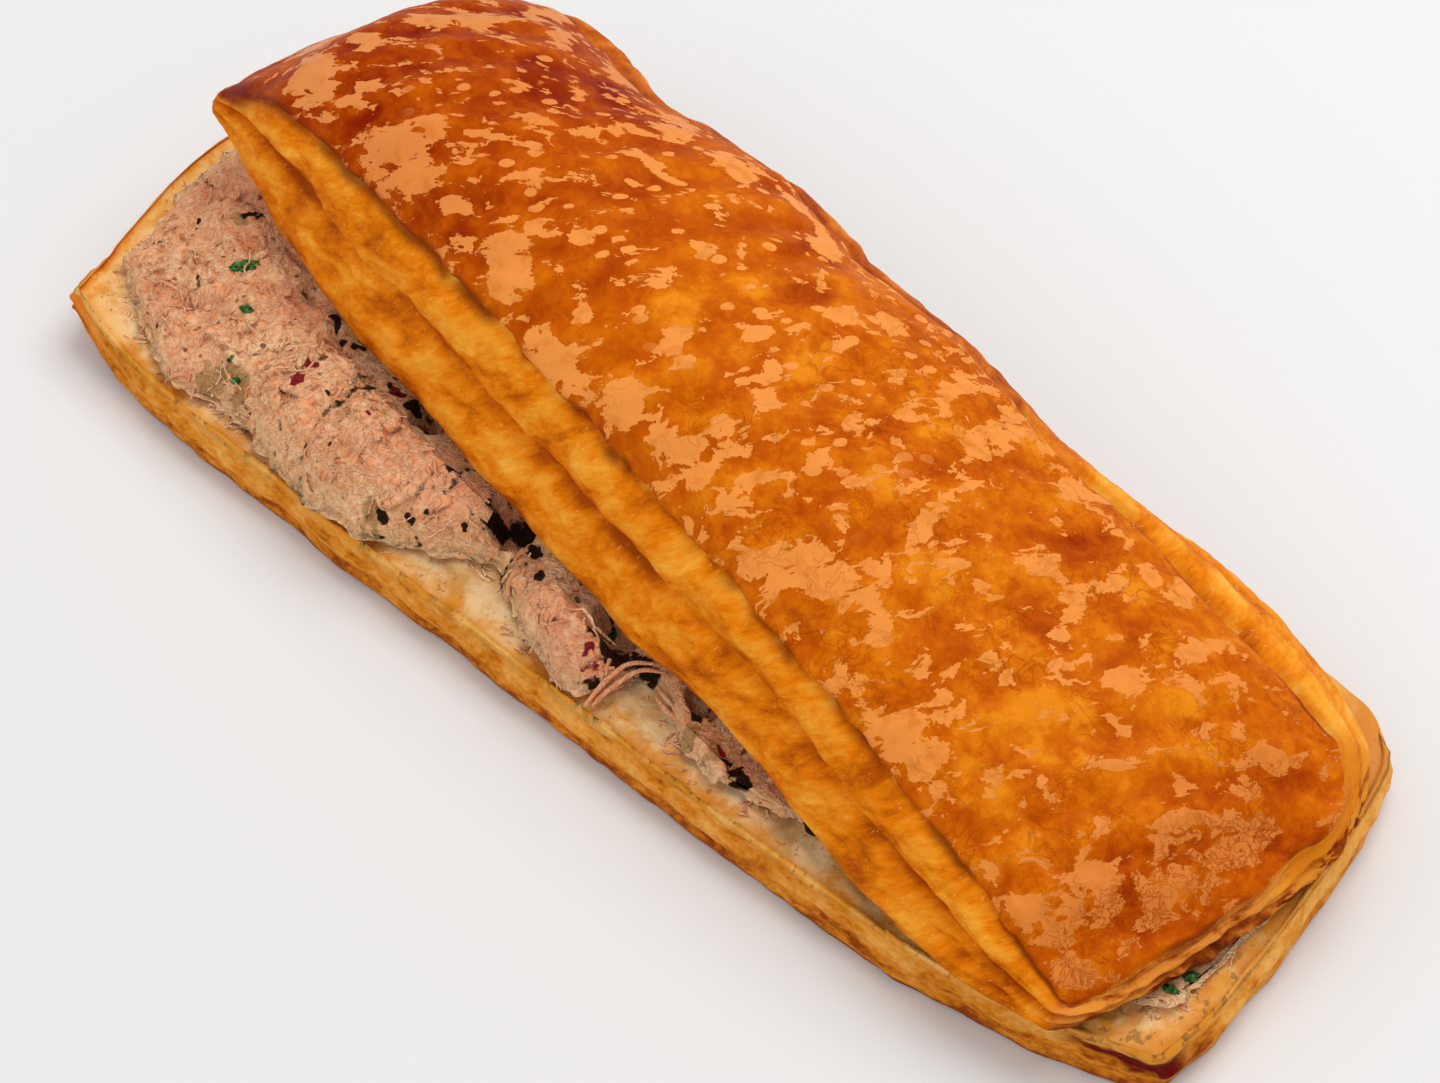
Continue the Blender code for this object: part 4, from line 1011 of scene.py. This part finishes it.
def slabTop():
    r = newMaterial("soft_crumb_slab", slabTones)
    place = r.attribute("place")
    x, y, inset = r.part(place, "X"), r.part(place, "Y"), r.attribute("marks", "X")
    soft = r.grain(place, 190, 4, 0.6, 0.5)
    fine = r.grain(place, 800, 4, 0.65)
    colour = r.ramp(soft + 0.35 * (fine - 0.5), (0.38, "oily"), (0.55, "cream"))
    soaked = r.grain(place, 130, 3, 0.6).step(0.5, 0.62) * x.step(-0.03, 0.01)
    reach = inset / (1 + 0.9 * x.step(0.066, 0.076)) / (1 + 0.7 * (1 - x.step(-0.078, -0.07)))
    edge = 1 - (reach + 0.0048 * (soft - 0.5) + 0.002 * (fine - 0.5)).step(0.0004, 0.0044)
    golden = r.blend(soft.step(0.4, 0.62), "gold", "pale")
    crumbs = r.grain(place, 1300, 2).step(0.64, 0.72)
    right = x.step(0.068, 0.074)
    blotches = r.grain(place, 260, 4, 0.65, 0.5).step(0.42, 0.56)
    herbs = right * (1 - y.step(-0.012, -0.004)) * r.grain(place, 750, 2).step(0.58, 0.64)
    colour = r.coats(
        colour, (soaked * 0.6, "olive"), (x.step(0.07, 0.076) * 0.35, "cream"), (edge, golden),
        (crumbs * 0.5, "baked"), (right * y.step(0, 0.01) * 0.85, "amber"),
        (right * blotches * 0.75, "amber"), (herbs * 0.7, "olive"))
    return finished(r, colour, 0.45 + 0.2 * fine, (soft + 0.5 * fine, 0.0004, 0.7), 0.1)


def slabSide():
    r = newMaterial("flaky_layers_slab", slabTones)
    place = r.attribute("place")
    x, y, level = r.part(place, "X"), r.part(place, "Y"), r.attribute("marks", "Y")
    strands = r.drawnOut(place, (2, 2, 1))
    broad = r.grain(strands, 480, 3, 0.55, 0.4)
    fine = r.grain(strands, 2000, 4, 0.6)
    sway = broad - 0.5
    value = 0.5 + 1.3 * sway + 0.8 * (fine - 0.5) + 0.45 * (level - 0.55)
    value = value + 0.16 * x.step(0.075, 0.08) * y.step(-0.02, -0.012)
    colour = r.ramp(value, (0.15, "baked"), (0.45, "side"), (0.9, "pale"))
    rim = 1 - (level + 0.1 * sway).step(0.04, 0.18)
    rightTip = x.step(0.07, 0.081)
    burnt = level + 0.5 * sway
    burnt = (burnt.step(0.56 - 0.22 * rightTip, 0.66 - 0.2 * rightTip)
             * (1 - burnt.step(0.72, 0.8 + 0.14 * rightTip)))
    burnt = burnt * x.step(0.069, 0.075) * (1 - y.step(-0.0235, -0.0195))
    leftTip = (1 - x.step(-0.08, -0.072)) * (1 - y.step(-0.02, -0.008))
    colour = r.coats(
        colour, ((level + 0.7 * sway).step(0.78, 1.02), "gold"), (rim * 0.7, "baked"), (burnt, "scorch"),
        (leftTip * 0.7, "tip"))
    return finished(r, colour, 0.5 + 0.15 * fine, (broad + 0.6 * fine, 0.0003, 0.7), 0.06)


tunaTones = tones({
    "deep": (172, 90, 46),
    "body": (238, 165, 112),
    "pale": (253, 205, 155),
    "pink": (240, 148, 104),
    "strand": (255, 222, 184),
    # painted shade in pits
    "speck": (70, 22, 10),
    # painted shade in holes and creases
    "dark": (18, 2, 2),
    "red": (128, 12, 30),
    "olive": (140, 108, 48),
})


def hairs(r, spot, scale, shift):  # thin curly lines
    return r.grain(r.vectors("ADD", spot, (shift, shift, -shift)), scale, 2, 0.5, 1.2).line(26)


def tunaMeat(name, reliefShadeContrast, lift=0.0, onHeap=False):
    r = newMaterial(name, tunaTones)
    spot = r.add("ShaderNodeTexCoord", out="Object")
    broad = r.grain(spot, 120, 3, 0.55)
    fine = r.grain(spot, 900, 4, 0.65)
    curls = hairs(r, spot, 230, 0.0).most(hairs(r, spot, 330, 0.37))
    curls = curls.most(hairs(r, spot, 500, 0.71) * 0.8)
    pink = r.grain(spot, 75, 2).step(0.45, 0.62)
    # pits: sunk by the bump and painted with shade
    pitShade = r.grain(spot, 560, 1).step(0.7, 0.77)
    # darker where the bump sinks and lighter where it rises: painted shade and painted highlight
    colour = r.ramp(0.5 + lift + reliefShadeContrast * (fine - 0.5) + 0.8 * (broad - 0.5),
                    (0.15, "deep"), (0.45, "body"), (0.85, "pale"))
    colour = r.coats(colour, (pink * 0.5, "pink"), (curls * 0.35, "strand"), (pitShade * 0.8, "speck"))
    if onHeap:
        inset = r.attribute("marks", "X")
        thin = 1 - (inset + 0.003 * (fine - 0.5) + 0.003 * (broad - 0.5)).step(-0.0004, 0.001)
        colour = r.blend(thin * 0.5, colour, slabTones["cream"])
        # olive oil and red bits, and painted shade in holes and creases
        for kind, part, cover in (("olive", "Z", 0.6), ("red", "Y", 0.97), ("dark", "X", 0.97)):
            share = (r.attribute("tints", part) + 1.6 * (fine - 0.5)).step(0.22, 0.62)
            colour = r.blend(share * cover, colour, kind)
    bump = (0.6 * fine + 0.5 * broad + 0.7 * curls - 1.2 * pitShade, 0.0003, 0.8)
    return finished(r, colour, 0.42 + 0.2 * fine, bump, 0.06, IOR=1.42)


greenTones = tones({"leaf": (18, 66, 16), "bright": (84, 146, 52)})


def parsleyLeaf():
    r = newMaterial("parsley_leaf", greenTones)
    fine = r.grain(r.add("ShaderNodeTexCoord", out="Object"), 1500, 3)
    colour = r.blend(fine.step(0.35, 0.7), "leaf", "bright")
    return finished(r, colour, 0.42 + 0.1 * fine, (fine, 0.0002, 0.6), 0.4)


# Pieces

print("slab")
bottom = skin("bottom_pastry_baked", cuts((0.02, 8), (0.98, 330), (1.0, 8)), cuts((0.3, 40), (1.0, 16)),
              cuts((1.0, 16)), (8, 8), slabShape, slabTop(), slabSide())
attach(bottom, "root")
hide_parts("bottom_pastry")

print("lid")
top = skin("top_pastry_glazed", cuts((0.03, 16), (0.97, 330), (1.0, 16)),
           cuts((0.06, 12), (0.94, 84), (1.0, 12)), cuts((1.0, 38)), (8, 12), lidShape,
           glazedCrust(), flakyLayers())
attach(top, "root")
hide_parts("top_pastry")

print("tuna")
meat = tunaMeat("tuna_meat", 1.7, 0.0, True)
heap = skin("tuna_heap", cuts((1.0, 480)), cuts((0.7, 90), (1.0, 10)), cuts((1.0, 5)), (10, 10), tunaShape,
            meat, meat)
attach(heap, "root")
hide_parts("tuna_filling")

shredKinds = {  # ground, how pale they are, and the shredInputs in their order, with density a square metre
    "tuna_shreds": (heap, 0.08, (200000.0, 0.0024, 0.00036, 0.6, 0.0024, 0.06, 0.00014, 0.2, 0.0, 3)),
    "tuna_flakes": (heap, 0.08, (90000.0, 0.0034, 0.0017, 0.35, 0.0026, 0.1, 0.0003, 0.0, 0.0, 8)),
    "tuna_strands": (heap, 0.35, (36000.0, 0.0052, 0.0002, 1.0, 0.0048, 0.04, 0.00004, 1.0, 0.0, 5)),
    "tuna_wisps": (bottom, 0.35, (1100000.0, 0.0021, 0.00026, 0.8, 0.0022, 0.05, 0.00006, 0.0, 1.0, 9)),
}
shreds = shredTree()
for kind, (ground, lift, numbers) in shredKinds.items():
    settings = dict(zip(shredInputs, (*numbers, tunaMeat(kind + "_meat", 1.1, lift))))
    piece = grown(kind, ground, shreds, settings)

parsley = {  # (x, y, length, width, turn) of each leaf, in millimetres and degrees
    "leaves": ((-63.8, -9.2, 3.4, 1.5, 52), (-58.2, -14.4, 1.5, 1.2, 20), (-55.6, -19.6, 1.5, 0.6, 80),
               (3.1, -20.4, 2.3, 0.9, 95), (78.3, -15.2, 1.6, 1.0, 60), (77.6, -17.8, 1.7, 0.9, 10),
               (-53.6, -21.4, 1.3, 0.8, 30)),
    "thickness": 0.00075,
    "crinkle": 0.00036,
    "lift": 0.0001,
}


def makeParsley():  # crinkled little leaves, pressed into the tuna
    places, faces = [], []
    for number, (x, y, length, width, turn) in enumerate(parsley["leaves"]):
        ball = bmesh.new()
        bmesh.ops.create_icosphere(ball, subdivisions=4, radius=1.0)
        first, x, y = len(places), x / 1000, y / 1000
        cos, sin = math.cos(math.radians(turn)), math.sin(math.radians(turn))
        ground = tunaHeight(x, y, tunaInset(x, y)) + parsley["lift"]
        for vert in ball.verts:
            u, v, h = vert.co
            frill = 1 + 0.5 * rough(u, v, h, 0.38, number) + 0.3 * rough(u, v, h, 0.17, number)
            along, across = 0.0005 * length * u * frill, 0.0005 * width * v * frill
            rise = parsley["thickness"] / 2 * h
            z = ground + rise + parsley["crinkle"] * rough(u, v, 0, 0.35, number + 9)
            places.append(settled(x + along * cos - across * sin, y + along * sin + across * cos, z))
        faces += [[first + vert.index for vert in face.verts] for face in ball.faces]
        ball.free()
    piece = newPiece("parsley_leaves", places, faces, parsleyLeaf())
    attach(piece, "root")


print("parsley")
makeParsley()

longStrands = {  # stations (x, y, height above the pastry) along each strand, in millimetres
    "strands": (
        ((6.9, -29, 0.3), (7, -27.2, 1.2), (7.4, -25.4, 2.2), (8.4, -23.2, 3.4), (11, -21.6, 4)),
        ((7.6, -28.6, 0.3), (7.8, -26.8, 1), (8.4, -25, 1.8), (9.8, -22.8, 3), (12.5, -21.4, 3.4)),
        ((11.9, -22.5, 1.6), (13.4, -22.9, 1.3), (15.2, -23.3, 1.2), (17.6, -23.8, 0.9)),
        ((12.4, -23.3, 0.9), (14.2, -23.9, 0.8), (16.4, -24.1, 0.7), (18.6, -24.8, 0.4)),
        ((18.5, -25.6, 0.5), (19.6, -24.8, 0.7), (21, -25.2, 0.6), (22.6, -26.2, 0.4))),
    "radius": 0.00034,
    "sides": 8,
    "steps": 24,
}


def makeLongStrands():
    places, faces = [], []
    steps, sides = longStrands["steps"], longStrands["sides"]
    for stations in longStrands["strands"]:
        first, last = len(places), len(stations) - 1
        tracks = [[(index / last, station[axis] / 1000) for index, station in enumerate(stations)]
                  for axis in range(3)]
        spine = [Vector([through(track, n / steps) for track in tracks]) for n in range(steps + 1)]
        for n, middle in enumerate(spine):
            way = (spine[min(n + 1, steps)] - spine[max(n - 1, 0)]).normalized()
            side = way.cross(Vector((0, 0, 1))).normalized()
            rise = side.cross(way)
            taper = 0.35 + 0.65 * math.sqrt(hump(0.04 + 0.92 * n / steps))
            for k in range(sides):
                turn = math.tau * k / sides
                size = longStrands["radius"] * taper * (1 + 0.25 * rough(n, k, first, 2.5))
                spot = middle + (math.cos(turn) * side + 0.7 * math.sin(turn) * rise) * size
                places.append(settled(spot.x, spot.y, spot.z + slab["thickness"]))
        for n in range(steps):
            for k in range(sides):
                a, b = first + n * sides + k, first + n * sides + (k + 1) % sides
                faces.append((a, b, b + sides, a + sides))
        faces.append(tuple(range(first + sides - 1, first - 1, -1)))
        faces.append(tuple(range(first + steps * sides, first + steps * sides + sides)))
    piece = newPiece("tuna_long_strands", places, faces, tunaMeat("long_strand_meat", 1.1))
    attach(piece, "root")


print("long strands")
makeLongStrands()

# Floor, lights and camera

studio = {
    "floor": (240, 240, 239),
    "floorReach": 3,
    "world": 0.6,
    "lights": (("key", 2.25, (0.06, 0.26, 0.62), 0.55),  # power, place, size
               ("fill", 0.5, (-0.2, -0.55, 0.45), 0.6)),
    "azimuth": math.radians(39.7436),
    "elevation": math.radians(51.0),
    "distance": 0.41985,
    "target": (0.00112, -0.00366, 0.0),
    "lens": 90.0,
    "sensor": 36.0,
    "nearest": 0.01,
}


def makeFloor():
    reach = studio["floorReach"]
    corners = [(-reach, -reach, 0), (reach, -reach, 0), (reach, reach, 0), (-reach, reach, 0)]
    finish = finished(newMaterial("pale_floor"), tone(*studio["floor"]), 0.7, None, 0.1, IOR=1.5)
    floor = newPiece("floor", corners, [(0, 1, 2, 3)], finish, smoothed=False)


def makeLight(name, power, place, size):
    light = bpy.data.lights.new(name, "AREA")
    light.energy, light.size = power, size
    lamp = placed(name, light)
    lamp.location = place
    lamp.rotation_euler = Vector(place).to_track_quat("Z", "Y").to_euler()


def makeCamera():
    scene = bpy.context.scene
    data = bpy.data.cameras.new("camera")
    data.lens, data.sensor_width, data.clip_start = studio["lens"], studio["sensor"], studio["nearest"]
    camera = placed("camera", data)
    turn, rise = studio["azimuth"], studio["elevation"]
    back = Vector((math.sin(turn) * math.cos(rise), -math.cos(turn) * math.cos(rise), math.sin(rise)))
    camera.location = Vector(studio["target"]) + back * studio["distance"]
    camera.rotation_euler = back.to_track_quat("Z", "Y").to_euler()
    scene.camera = camera
    world = bpy.data.worlds.new("studio")
    world.use_nodes = True
    sky = world.node_tree.nodes["Background"].inputs
    sky["Color"].default_value = (1.0, 1.0, 1.0, 1.0)
    sky["Strength"].default_value = studio["world"]
    scene.world = world
    scene.view_settings.view_transform = "Standard"


print("studio")
makeFloor()
for light in studio["lights"]:
    makeLight(*light)
makeCamera()
